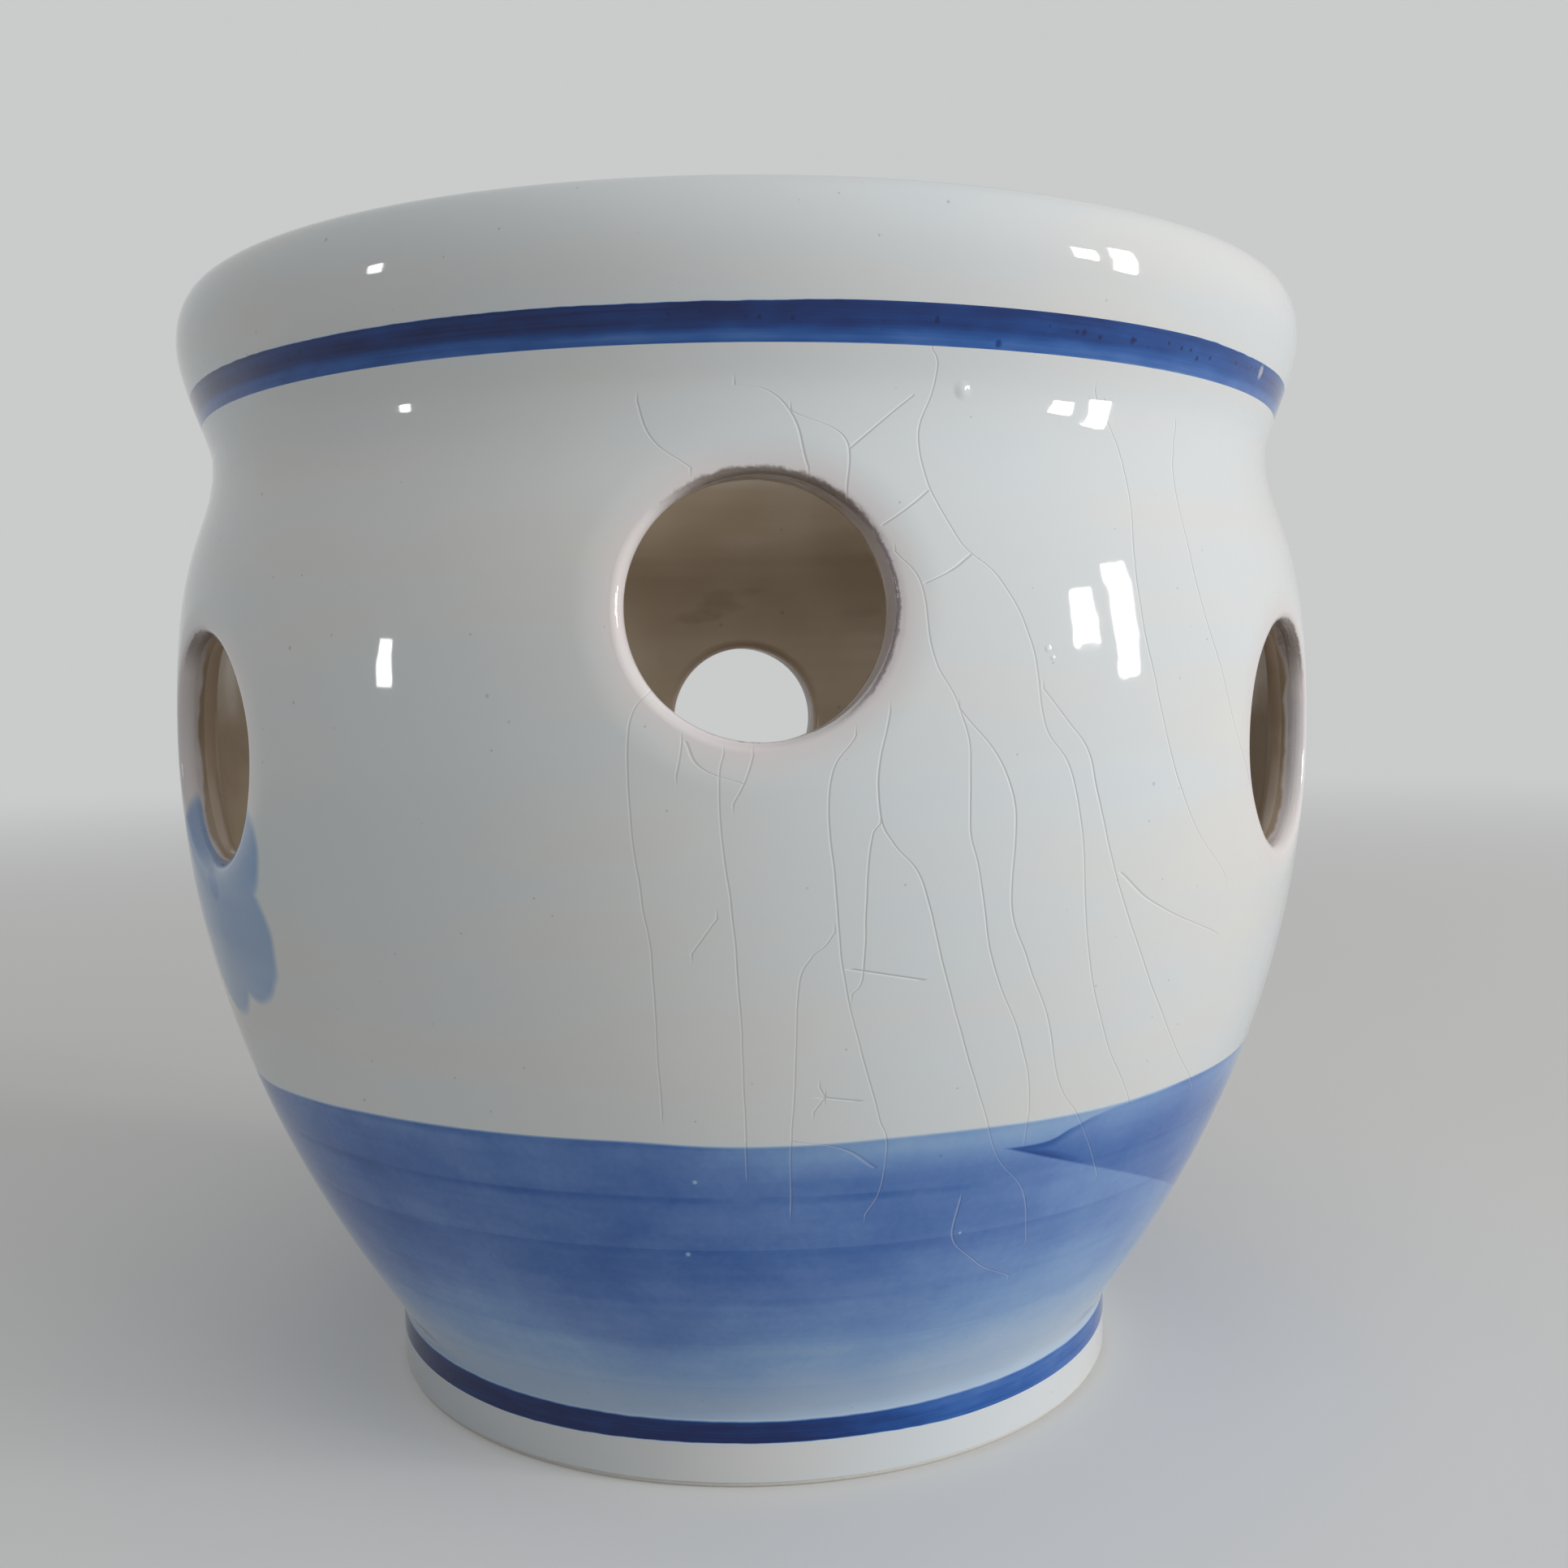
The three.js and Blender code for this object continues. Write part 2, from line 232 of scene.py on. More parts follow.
class PotStudio(PropertyGroup):
    floor: tone("Floor", 226, 225, 222, "Plain paper under and behind the pot")
    backdrop: tone("Backdrop", 202, 203, 203, "What the camera and the glaze see beyond the floor")
    sky: brightness("Sky", 0.22, "Soft light from all round")
    window: brightness("Window", 28, "The two window boxes on the right")
    small_window: brightness("Small window", 20, "The small window box on the left")
    side_box: brightness("Side box", 2.1, "The large soft box on the right")
    top_box: brightness("Top box", 1.2, "The large soft box above")


# Section of the pot


def cubic(start, start_control, end_control, end, count=240):
    """A cubic curve: four points, each weighted by its binomial term of the share along the curve."""
    share = np.linspace(0, 1, count)[:, None]
    rest = 1 - share
    start, start_control, end_control, end = map(np.asarray, (start, start_control, end_control, end))
    return (
        start * rest**3
        + 3 * start_control * share * rest**2
        + 3 * end_control * share**2 * rest
        + end * share**3
    )


def upright(start, end, pull):
    """A cubic curve that is upright at both ends, with its control points pulled along its height."""
    rise = end[1] - start[1]
    return cubic(start, (start[0], start[1] + pull[0] * rise), (end[0], end[1] - pull[1] * rise), end)


def arc(centre, across, up, start, end, count=90):
    """Part of an ellipse: the centre plus across times the cosine and up times the sine of an angle."""
    angle = np.linspace(start, end, count)
    return np.stack([centre[0] + across * np.cos(angle), centre[1] + up * np.sin(angle)], axis=1)


def straight(start, end, count=30):
    """Evenly spaced points between two places."""
    return np.linspace(start, end, count)


class Section:
    """A line of (radius, height) points with the clay on its left, read by the distance along it."""

    def __init__(self, *runs):
        points = np.concatenate(runs)
        steps = np.hypot(*np.diff(points, axis=0).T)
        kept = np.concatenate([[True], steps > 1e-9])
        self.radius, self.height = points[kept].T
        lengths = np.hypot(np.diff(self.radius), np.diff(self.height))
        self.distance = np.concatenate([[0], np.cumsum(lengths)])
        self.crest = int(np.argmax(self.height))

    @property
    def end(self):
        """The whole length of the line."""
        return self.distance[-1]

    def at(self, station):
        """Radius and height at a distance along the line."""
        radius = np.interp(station, self.distance, self.radius)
        height = np.interp(station, self.distance, self.height)
        return radius, height

    def outward(self, station):
        """Unit vector away from the clay: the direction of travel turned a quarter to the right."""
        step = 0.15 * MM
        low = self.at(np.clip(station - step, 0, self.end))
        high = self.at(np.clip(station + step, 0, self.end))
        across, up = high[0] - low[0], high[1] - low[1]
        size = np.hypot(across, up)
        return up / size, -across / size

    def outside(self, height):
        """Distance along the line where its outer side, which only rises, is at a height."""
        rising = slice(None, self.crest + 1)
        return np.interp(height, self.height[rising], self.distance[rising])

    def inside(self, height):
        """Distance along the line where its inner side, which only falls, is at a height."""
        falling = slice(None, self.crest - 1, -1)
        return np.interp(height, self.height[falling], self.distance[falling])


def skin_section(shape):
    """The glazed pot's section: up the outside, over the lip and down to the middle of the floor.

    The inner side of the wall is the outer side moved square to itself by the wall's thickness.
    """
    lip_side = (shape.rim_radius, shape.crest_height - shape.lip_round_down)
    crest_radius = shape.rim_radius - shape.lip_round_across
    mouth_radius = shape.rim_radius - shape.lip_thickness
    foot = (shape.foot_radius, shape.foot_wall)
    belly = (shape.belly_radius, shape.belly_height)
    neck = (shape.neck_radius, shape.neck_height)
    outer_runs = [
        straight((shape.foot_radius, 0), foot),
        upright(foot, belly, FLANK_PULL),
        upright(belly, neck, SHOULDER_PULL),
        upright(neck, lip_side, RIM_PULL),
        arc((crest_radius, lip_side[1]), shape.lip_round_across, shape.lip_round_down, 0, math.pi / 2),
    ]
    outer = Section(*outer_runs)

    foot_top, neck_place = outer.outside(shape.foot_wall), outer.outside(shape.neck_height)
    between = np.linspace(foot_top, neck_place, WALL_POINTS)
    radius, height = outer.at(between)
    across, up = outer.outward(between)
    wall = np.stack([radius - shape.wall * across, height - shape.wall * up], axis=1)[::-1]
    wall = wall[wall[:, 1] > shape.floor_height + shape.floor_corner]

    mouth = (mouth_radius, shape.crest_height - shape.mouth_round_down)
    mouth_across = crest_radius - mouth_radius
    bottom, before = wall[-1], wall[-20]
    slope = (bottom - before) / (before[1] - bottom[1])
    corner = bottom + slope * (bottom[1] - shape.floor_height)
    corner_end = np.array((corner[0] - (bottom[1] - shape.floor_height), shape.floor_height))
    inner_runs = [
        arc((crest_radius, mouth[1]), mouth_across, shape.mouth_round_down, math.pi / 2, math.pi),
        upright(mouth, wall[0], MOUTH_PULL),
        wall,
        cubic(bottom, (bottom + 2 * corner) / 3, (corner_end + 2 * corner) / 3, corner_end),
        straight(corner_end, (0, shape.floor_height)),
    ]
    return Section(*outer_runs, *inner_runs)


def recess_section(shape):
    """The recess under the foot: out from the axis, round its corner and down to the bare clay."""
    ring = shape.foot_radius - shape.ring_width
    centre = (ring - shape.recess_corner, shape.recess_depth - shape.recess_corner)
    return Section(
        straight((0, shape.recess_depth), (centre[0], shape.recess_depth)),
        arc(centre, shape.recess_corner, shape.recess_corner, math.pi / 2, 0),
        straight((ring, centre[1]), (ring, shape.wiped_foot)),
    )


def foot_ring_section(shape):
    """The bare foot ring: out from under the inner coat, round both edges and under the outer coat."""
    edge = 0.6 * MM
    lip = 0.12 * MM
    sunk = shape.coat + shape.coat_clearance
    inner = shape.foot_radius - shape.ring_width
    outer = shape.foot_radius
    top = shape.wiped_foot - shape.coat_clearance
    return Section(
        straight((inner + sunk, shape.wiped_foot), (inner + sunk, top), 3),
        straight((inner + sunk, top), (inner + lip, top), 5),
        straight((inner + lip, top), (inner + lip, edge), 3),
        arc((inner + lip + edge, edge), edge, edge, math.pi, 1.5 * math.pi, 12),
        straight((inner + lip + edge, 0), (outer - lip - edge, 0), 12),
        arc((outer - lip - edge, edge), edge, edge, 1.5 * math.pi, 2 * math.pi, 12),
        straight((outer - lip, edge), (outer - lip, top), 3),
        straight((outer - lip, top), (outer - sunk, top), 5),
        straight((outer - sunk, top), (outer - sunk, shape.wiped_foot), 3),
    )


# Surfaces


def unevenness(shape, turn, radius, height):
    """How far the pot stands in from a true round, in two and three waves a turn.

    The waves fade out towards the foot and towards the axis.
    """
    waves = 2 - np.cos(2 * turn + 2.6) * 1.1 - np.cos(3 * turn - 1.2) * 0.9
    above = np.clip((height - 3 * MM) / shape.belly_height, 0, 1)
    return shape.unevenness / 4 * waves * above * np.clip(radius / shape.foot_radius, 0, 1)


def swing(shape, section, turn, station):
    """Points and outward directions: radius times sine and minus cosine of the turn, at its height."""
    turn, station = np.broadcast_arrays(turn, station)
    radius, height = section.at(station)
    across, up = section.outward(station)
    sine, cosine = np.sin(turn), np.cos(turn)
    radius = radius - unevenness(shape, turn, radius, height)
    points = np.stack([radius * sine, -radius * cosine, height], axis=-1)
    return points, np.stack([across * sine, -across * cosine, up], axis=-1)


def grid_faces(rows, columns, turned=False, ring=False):
    """Faces of a grid whose points run row by row. A ring's last column meets its first."""
    row, column = np.meshgrid(np.arange(rows - 1), np.arange(columns - (not ring)), indexing="ij")
    beside = (column + 1) % columns
    low, high = row * columns, (row + 1) * columns
    corners = [low + column, low + beside, high + beside, high + column]
    faces = np.stack(corners, axis=-1).reshape(-1, 4)
    return faces[:, ::-1] if turned else faces


class Sheet:
    """A surface gathered grid by grid: points, outward directions, faces and places beside a hole."""

    def __init__(self):
        self.points, self.outward, self.faces, self.marks = [], [], [], []
        self.count = 0

    def add(self, points, outward, faces, marks=None):
        points = points.reshape(-1, 3)
        if marks is None:
            marks = np.tile((0, 0, FAR_FROM_HOLES), (len(points), 1))
        self.points.append(points)
        self.outward.append(outward.reshape(-1, 3))
        self.faces.append(faces + self.count)
        self.marks.append(marks.reshape(-1, 3))
        self.count += len(points)

    def welded(self):
        """The gathered arrays, with doubled points made one and faces without area left out."""
        points, outward, faces, marks = map(
            np.concatenate, (self.points, self.outward, self.faces, self.marks)
        )
        grid = np.round(points / SAME_PLACE).astype(np.int64)
        _, first, joined = np.unique(grid, axis=0, return_index=True, return_inverse=True)
        faces = joined.reshape(-1)[faces]
        distinct = (faces != np.roll(faces, -1, axis=1)).sum(axis=1)
        opposite = (faces[:, 0] == faces[:, 2]) | (faces[:, 1] == faces[:, 3])
        return points[first], outward[first], faces[(distinct > 2) & ~opposite], marks[first]


def free_edges(faces):
    """Edges, in the order their face runs, that no other face runs the other way."""
    start, end = faces.reshape(-1), np.roll(faces, -1, axis=1).reshape(-1)
    real = start != end
    start, end = start[real], end[real]
    span = int(max(start.max(), end.max())) + 1
    alone = ~np.isin(start * span + end, end * span + start)
    return start[alone], end[alone]


def coat(sheet, thickness):
    """A closed coat: the surface, a copy sunk along its directions, and a wall down each free edge."""
    points, outward, faces, marks = sheet.welded()
    count = len(points)
    start, end = free_edges(faces)
    walls = np.stack([end, start, start + count, end + count], axis=1)
    return (
        np.concatenate([points, points - outward * thickness]),
        np.concatenate([outward, -outward]),
        np.concatenate([faces, faces[:, ::-1] + count, walls]),
        np.concatenate([marks, marks]),
    )


def steps(start, end, spacing=ROW):
    """Evenly spaced stations from one distance to another, about a spacing apart."""
    return np.linspace(start, end, max(2, int(round(abs(end - start) / spacing)) + 1))


class PlantingHole:
    """A round hole square to the wall, with directions along the wall, up the wall and out of it.

    Its inner end stands a little to one side, because the cutter wasn't held quite square.
    """

    def __init__(self, pot, turn, height, left, right, lean, edge):
        station = pot.skin.outside(height)
        radius, height = pot.skin.at(station)
        across, up = pot.skin.outward(station)
        self.pot = pot
        self.turn = turn
        self.height = height
        self.radius = radius
        self.left, self.right = left, right
        self.lean = lean
        self.edge = edge
        self.out = np.array((across * math.sin(turn), -across * math.cos(turn), up))
        self.along = np.array((math.cos(turn), math.sin(turn), 0))
        self.up = np.cross(self.out, self.along)
        self.centre = np.array((radius * math.sin(turn), -radius * math.cos(turn), height))

    def bore(self, clock):
        """The hand-cut radius at each angle round the hole, a little off a true circle."""
        wave = 0.0035 * np.cos(2 * clock + 0.9) + 0.002 * np.cos(5 * clock + 2 * self.turn)
        return self.pot.holes.bore * (1 + wave)

    def meet(self, across, up, inner):
        """Turn and height where lines along the hole's axis meet the wall.

        A point slides along the line by what its distance from the pot's axis has over the wall's
        radius at its height, until the two agree.
        """
        skin = self.pot.skin
        side = skin.inside if inner else skin.outside
        depth = np.full(np.shape(across), -self.pot.shape.wall if inner else 0.0)
        across = across + (self.lean if inner else 0)
        for _ in range(MEETING_TRIES):
            point = (
                self.centre
                + across[..., None] * self.along
                + up[..., None] * self.up
                + depth[..., None] * self.out
            )
            from_axis = np.hypot(point[..., 0], point[..., 1])
            depth = depth - (from_axis - skin.at(side(point[..., 2]))[0])
        away = np.arctan2(point[..., 0], -point[..., 1]) - self.turn
        return self.turn + (away + math.pi) % (2 * math.pi) - math.pi, point[..., 2]

    def wall_points(self, turn, height, inner):
        """Points and directions of the wall's outer or inner side at turns and heights."""
        skin = self.pot.skin
        return swing(self.pot.shape, skin, turn, (skin.inside if inner else skin.outside)(height))

    def border(self):
        """Turn and height round the hole's rectangle of the belt, and the clock angle for each place.

        The clock angles are halfway between the true directions of the places and even steps.
        """
        across = np.linspace(self.left, self.right, SECTOR_STEPS + 1)
        up = np.linspace(BELT_LOW, BELT_HIGH, SIDE_STEPS + 1)
        turn = np.concatenate([
            across[:-1], np.full(SIDE_STEPS, self.right), across[:0:-1], np.full(SIDE_STEPS, self.left)
        ])
        height = np.concatenate([
            np.full(SECTOR_STEPS, BELT_LOW), up[:-1], np.full(SECTOR_STEPS, BELT_HIGH), up[:0:-1]
        ])
        true = np.unwrap(np.arctan2(height - self.height, (turn - self.turn) * self.radius))
        even = true.mean() - math.pi + 2 * math.pi * (np.arange(len(true)) + 0.5) / len(true)
        return turn, height, (true + even) / 2

    def ring(self, size, clock, inner):
        """Points and directions on the wall where it meets a tube of a size round the hole's axis."""
        return self.wall_points(*self.meet(size * np.cos(clock), size * np.sin(clock), inner), inner)

    def into_clay(self, clock):
        """Unit vectors from the hole's axis to its wall at each clock angle."""
        return np.cos(clock)[:, None] * self.along + np.sin(clock)[:, None] * self.up

    def marks(self, clock, size, edge):
        """Each point's place across and up the hole and its distance past the edge, in millimetres."""
        size, edge = np.broadcast_to(size, clock.shape), np.broadcast_to(edge, clock.shape)
        return np.stack([size * np.cos(clock), size * np.sin(clock), edge], axis=-1) / MM

    def roll(self, amount, clock, inner):
        """The edge of a hole as a quarter round from its bore to the wall, and what the bore joins.

        With a corner where bore and wall would meet, each point is the corner plus one leg times
        one minus a sine and the other leg times one minus a cosine.
        """
        bore = self.bore(clock)
        corner, _ = self.ring(bore, clock, inner)
        on_wall, wall_out = self.ring(bore + amount, clock, inner)
        in_bore = corner + (amount if inner else -amount)[:, None] * self.out
        inward = -self.into_clay(clock)
        bend = np.linspace(math.pi / 2, 0, ROLL_STEPS + 1)[:, None, None]
        points = (
            corner
            + (on_wall - corner) * (1 - np.sin(bend))
            + (in_bore - corner) * (1 - np.cos(bend))
        )
        outward = wall_out * np.cos(bend) + inward * np.sin(bend)
        outward = outward / np.linalg.norm(outward, axis=-1, keepdims=True)
        spread = amount * (1 - np.sin(bend[..., 0]))
        sunk = amount * (1 - np.cos(bend[..., 0]))
        marks = [self.marks(clock, bore + wide, wide - deep) for wide, deep in zip(spread, sunk)]
        return points, outward, np.stack(marks)

    def rings(self, near, inner, count=RING_STEPS):
        """Points, directions and marks of rings that widen from a round one to the square border.

        Turn and height go straight from the round ring to the border, by a share that grows ring by
        ring.
        """
        turn, height, clock = self.border()
        near = near if np.ndim(near) else np.full(len(clock), near)
        near_turn, near_height = self.meet(near * np.cos(clock), near * np.sin(clock), inner)
        growth = RING_GROWTH ** (RING_STEPS / count)
        share = ((growth ** np.arange(count + 1) - 1) / (growth**count - 1))[:, None]
        points, outward = self.wall_points(
            near_turn + (turn - near_turn) * share, near_height + (height - near_height) * share, inner
        )
        away = points - self.centre
        across, up = away @ self.along, away @ self.up
        marks = np.stack([across, up, np.hypot(across, up) - self.bore(clock)], axis=-1) / MM
        return points, outward, marks, clock

    def patch(self, sheet, near, inner, count):
        """The hole's rectangle of the belt with a plain round opening."""
        points, outward, marks, clock = self.rings(near, inner, count)
        sheet.add(points, outward, grid_faces(*points.shape[:2], turned=not inner, ring=True), marks)
        return clock

    def rolled_patch(self, sheet, inner):
        """The hole's rectangle of the belt with its edge rolling over into the hole."""
        _, _, clock = self.border()
        amount = self.roll_size(clock, inner)
        rolled = self.roll(amount, clock, inner)
        flat_rings = self.rings(self.bore(clock) + amount, inner)[:3]
        points, outward, marks = (np.concatenate([a, b[1:]]) for a, b in zip(rolled, flat_rings))
        sheet.add(points, outward, grid_faces(*points.shape[:2], turned=not inner, ring=True), marks)

    def roll_size(self, clock, inner):
        """How far the glaze rolls over at each angle: outside, full on one side and tight across."""
        if inner:
            return np.full(len(clock), self.pot.holes.inner_roll)
        side, full, tight = self.edge
        share = (full + tight) / 2 + (full - tight) / 2 * np.cos(clock - math.radians(side))
        return self.pot.holes.outer_roll * (share + 0.05 * np.cos(7 * clock + self.turn))

    def lining(self, sheet):
        """The cut wall between the two rolls: straight lines from one to the other."""
        _, _, clock = self.border()
        outer = self.roll(self.roll_size(clock, False), clock, False)
        inner = self.roll(self.roll_size(clock, True), clock, True)
        share = np.linspace(0, 1, BORE_STEPS + 1)[:, None, None]
        points = outer[0][0] + (inner[0][0] - outer[0][0]) * share
        outward = np.broadcast_to(-self.into_clay(clock), points.shape)
        down = np.linalg.norm(points - points[0], axis=-1) + self.roll_size(clock, False)
        marks = np.stack([self.marks(clock, self.bore(clock), -row) for row in down])
        sheet.add(points, outward, grid_faces(*points.shape[:2], ring=True), marks)


class Pot:
    """The pot's sections and holes, worked out from its properties."""

    def __init__(self, shape, holes, paint):
        self.shape, self.holes, self.paint = shape, holes, paint
        self.skin = skin_section(shape)
        self.recess = recess_section(shape)
        self.foot_ring = foot_ring_section(shape)
        high, low = shape.belly_height + holes.high_rise, shape.belly_height - holes.low_drop
        side, rear = holes.side_turn, holes.rear_turn
        full = 2 * math.pi
        right = [(side, low), (rear, high)]
        left = [(full - turn, height) for turn, height in reversed(right)]
        places = [(0, high), *right, (math.pi, low), *left]
        turns = np.array([turn for turn, _ in places])
        self.bounds = np.concatenate([[(turns[-1] - full) / 2], (turns[1:] + turns[:-1]) / 2])
        self.bounds = np.append(self.bounds, self.bounds[0] + full)
        self.planting = [
            PlantingHole(self, *place, start, end, -holes.lean, edge)
            for place, start, end, edge in zip(places, self.bounds, self.bounds[1:], HOLE_EDGES)
        ]

    def turns(self, every=1):
        """Turns round the whole pot that hold every border of a hole's rectangle."""
        sectors = [
            np.linspace(low, high, SECTOR_STEPS + 1)[:-1]
            for low, high in zip(self.bounds[:-1], self.bounds[1:])
        ]
        return np.append(np.concatenate(sectors), self.bounds[-1])[::every]

    def hoop(self, sheet, stations, section=None, every=1):
        """Adds the surface between the first and last station, all the way round."""
        section = section or self.skin
        turns = self.turns(every)
        points, outward = swing(self.shape, section, turns[None, :], stations[:, None])
        sheet.add(points, outward, grid_faces(len(stations), len(turns)))


# Blender meshes and pieces


def link_mesh(name, points, faces, outward=None, marks=None):
    """A mesh object from arrays. A face with a corner that repeats the next one becomes a triangle."""
    corners = faces != np.roll(faces, -1, axis=1)
    sizes = corners.sum(axis=1)
    mesh = bpy.data.meshes.new(name)
    mesh.vertices.add(len(points))
    mesh.vertices.foreach_set("co", points.astype(np.float32).ravel())
    mesh.loops.add(int(sizes.sum()))
    mesh.loops.foreach_set("vertex_index", faces[corners].astype(np.int32))
    mesh.polygons.add(len(faces))
    mesh.polygons.foreach_set("loop_start", (np.cumsum(sizes) - sizes).astype(np.int32))
    mesh.polygons.foreach_set("use_smooth", np.ones(len(faces), dtype=bool))
    mesh.update(calc_edges=True)
    mesh.validate()
    if marks is not None:
        layer = mesh.attributes.new("hole", "FLOAT_VECTOR", "POINT")
        layer.data.foreach_set("vector", marks.astype(np.float32).ravel())
    if outward is not None:
        mesh.normals_split_custom_set_from_vertices(outward.tolist())
    made = bpy.data.objects.new(name, mesh)
    bpy.context.scene.collection.objects.link(made)
    return made


def set_piece(made, nodes, material):
    """Makes an object a piece: its finish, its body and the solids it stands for."""
    made.data.materials.append(material)
    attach(made, "root")
    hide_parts(*nodes)


def coat_piece(pot, name, sheet, nodes, material, holed=False):
    """A closed coat as a piece."""
    points, outward, faces, marks = coat(sheet, pot.shape.coat)
    made = link_mesh(name, points, faces, outward, marks if holed else None)
    set_piece(made, nodes, material)


# Finishes


class Field:
    """A number or vector that changes over a surface. Python's operators on numbers add Math nodes."""

    def __init__(self, finish, socket):
        self.finish = finish
        self.socket = socket

    def math(self, operation, *others):
        """A Math node on this value and others."""
        return self.finish.node("ShaderNodeMath", {"operation": operation}, (self, *others))

    def __add__(self, other):
        return self.math("ADD", other)

    def __radd__(self, other):
        return self.math("ADD", other)

    def __mul__(self, other):
        return self.math("MULTIPLY", other)

    def __rmul__(self, other):
        return self.math("MULTIPLY", other)

    def __sub__(self, other):
        return self.math("SUBTRACT", other)

    def __rsub__(self, other):
        return self.math("MULTIPLY_ADD", -1.0, other)

    def __abs__(self):
        return self.math("ABSOLUTE")

    def times_plus(self, factor, extra):
        return self.math("MULTIPLY_ADD", factor, extra)

    def least(self, other):
        return self.math("MINIMUM", other)

    def most(self, other):
        return self.math("MAXIMUM", other)

    def power(self, exponent):
        return self.math("POWER", exponent)

    def rise(self, low, high, top=1.0):
        """0 below low, a top value above high and a smooth step between them."""
        settings = {"interpolation_type": "SMOOTHSTEP"}
        return self.finish.node("ShaderNodeMapRange", settings, (self, low, high, 0.0, top))

    def fall(self, low, high, top=1.0):
        """A top value below low, 0 above high and a smooth step between them."""
        settings = {"interpolation_type": "SMOOTHSTEP"}
        return self.finish.node("ShaderNodeMapRange", settings, (self, low, high, top, 0.0))

    def outputs(self):
        """Every output of this value's node as a value of its own."""
        return [Field(self.finish, socket) for socket in self.socket.node.outputs]


class Finish:
    """A material, its coordinates in millimetres and the method that adds its nodes."""

    def __init__(self, name, roughness, specular=0.5):
        self.material = bpy.data.materials.new(name)
        self.material.use_nodes = True
        self.tree = self.material.node_tree
        self.tree.nodes.clear()
        self.shader = self.tree.nodes.new("ShaderNodeBsdfPrincipled")
        self.output = self.tree.nodes.new("ShaderNodeOutputMaterial")
        self.tree.links.new(self.shader.outputs["BSDF"], self.output.inputs["Surface"])
        self.shader.inputs["Roughness"].default_value = roughness
        self.shader.inputs["Specular IOR Level"].default_value = specular
        coordinates = self.node("ShaderNodeTexCoord", {}, (), "Object")
        self.place = self.vector("SCALE", coordinates, scale=1 / MM)
        self.x, self.y, self.height = self.node("ShaderNodeSeparateXYZ", {}, (self.place,)).outputs()
        self.turn = self.x.math("ARCTAN2", self.y * -1.0) * math.degrees(1)

    def node(self, kind, settings, values, output=0):
        """Adds a node: its settings, then the values or links of its sockets by order or by name."""
        made = self.tree.nodes.new(kind)
        for name, setting in settings.items():
            if name == "stops":
                set_stops(made.color_ramp, setting)
            elif name == "routes":
                set_routes(made.mapping, setting)
            else:
                setattr(made, name, setting)
        pairs = values.items() if isinstance(values, dict) else enumerate(values)
        for key, value in pairs:
            if isinstance(value, Field):
                self.tree.links.new(value.socket, made.inputs[key])
            else:
                made.inputs[key].default_value = value
        return Field(self, made.outputs[output])

    def vector(self, operation, *values, scale=None, output=0):
        """A Vector Math node. A plain number stands for all three components of a vector."""
        sockets = {
            key: (value,) * 3 if isinstance(value, (int, float)) else value
            for key, value in enumerate(values)
        }
        if scale is not None:
            sockets["Scale"] = scale
        return self.node("ShaderNodeVectorMath", {"operation": operation}, sockets, output)

    def noise(self, size, detail=1.0, roughness=0.5, seed=0.0):
        """A cloud from about -1 to 1. Its lumps have one size in millimetres, or one for each axis."""
        sizes = size if isinstance(size, tuple) else (size,) * 3
        place = self.vector("MULTIPLY_ADD", self.place, tuple(1 / each for each in sizes), seed)
        values = {"Vector": place, "Scale": 1.0, "Detail": detail, "Roughness": roughness}
        return self.node("ShaderNodeTexNoise", {}, values).times_plus(2.0, -1.0)

    def specks(self, size, share, radius, seed):
        """Round specks of a radius in millimetres: one in each of a share of the cells of a size."""
        place = self.vector("MULTIPLY_ADD", self.place, 1 / size, seed)
        cell = {"Vector": self.vector("FLOOR", place)}
        chance = self.node("ShaderNodeTexWhiteNoise", {"noise_dimensions": "3D"}, cell)
        centre = self.vector("MULTIPLY_ADD", chance.outputs()[1], 0.6, 0.2)
        away = self.vector("DISTANCE", self.vector("FRACTION", place), centre, output="Value")
        return away.fall(0.4 * radius / size, radius / size) * chance.math("LESS_THAN", share)

    def curve(self, value, low, high, heights):
        """A smooth curve through evenly spaced heights while a value goes from low to high."""
        bottom, top, last = min(heights), max(heights), len(heights) - 1
        stations = [
            (number / last, (height - bottom) / (top - bottom))
            for number, height in enumerate(heights)
        ]
        share = self.node("ShaderNodeMapRange", {}, (value, low, high, 0.0, 1.0))
        curve = self.node("ShaderNodeFloatCurve", {"routes": [stations]}, {"Value": share})
        return curve.times_plus(top - bottom, bottom)

    def radius(self):
        """Distance in millimetres from the pot's axis."""
        return (self.x * self.x + self.y * self.y).power(0.5)

    def mix(self, amount, first, second, blend="MIX"):
        """A colour between two, by an amount."""
        settings = {"data_type": "RGBA", "blend_type": blend, "clamp_factor": True}
        return self.node("ShaderNodeMix", settings, {0: amount, 6: first, 7: second}, 2)

    def away(self, turn, height, radius):
        """Distance in millimetres from a turn in degrees and a height, on a wall of a radius."""
        across = (self.turn - turn) * (math.radians(1) * radius)
        up = self.height - height
        return (across * across + up * up).power(0.5)

    def paint(self, colour):
        """Gives the surface a colour that changes over it."""
        self.tree.links.new(colour.socket, self.shader.inputs["Base Color"])

    def gloss(self, roughness):
        """Gives the surface a roughness that changes over it."""
        self.tree.links.new(roughness.socket, self.shader.inputs["Roughness"])

    def relief(self, height):
        """Bumps the surface by a height in millimetres."""
        bump = self.node("ShaderNodeBump", {}, {"Strength": 1.0, "Distance": MM, "Height": height})
        self.tree.links.new(bump.socket, self.shader.inputs["Normal"])


def set_stops(ramp, stops):
    """Colour stops as (place, red, green, blue)."""
    while len(ramp.elements) < len(stops):
        ramp.elements.new(0.5)
    for element, (place, *colour) in zip(ramp.elements, stops):
        element.position = place
        element.color = (*colour, 1)


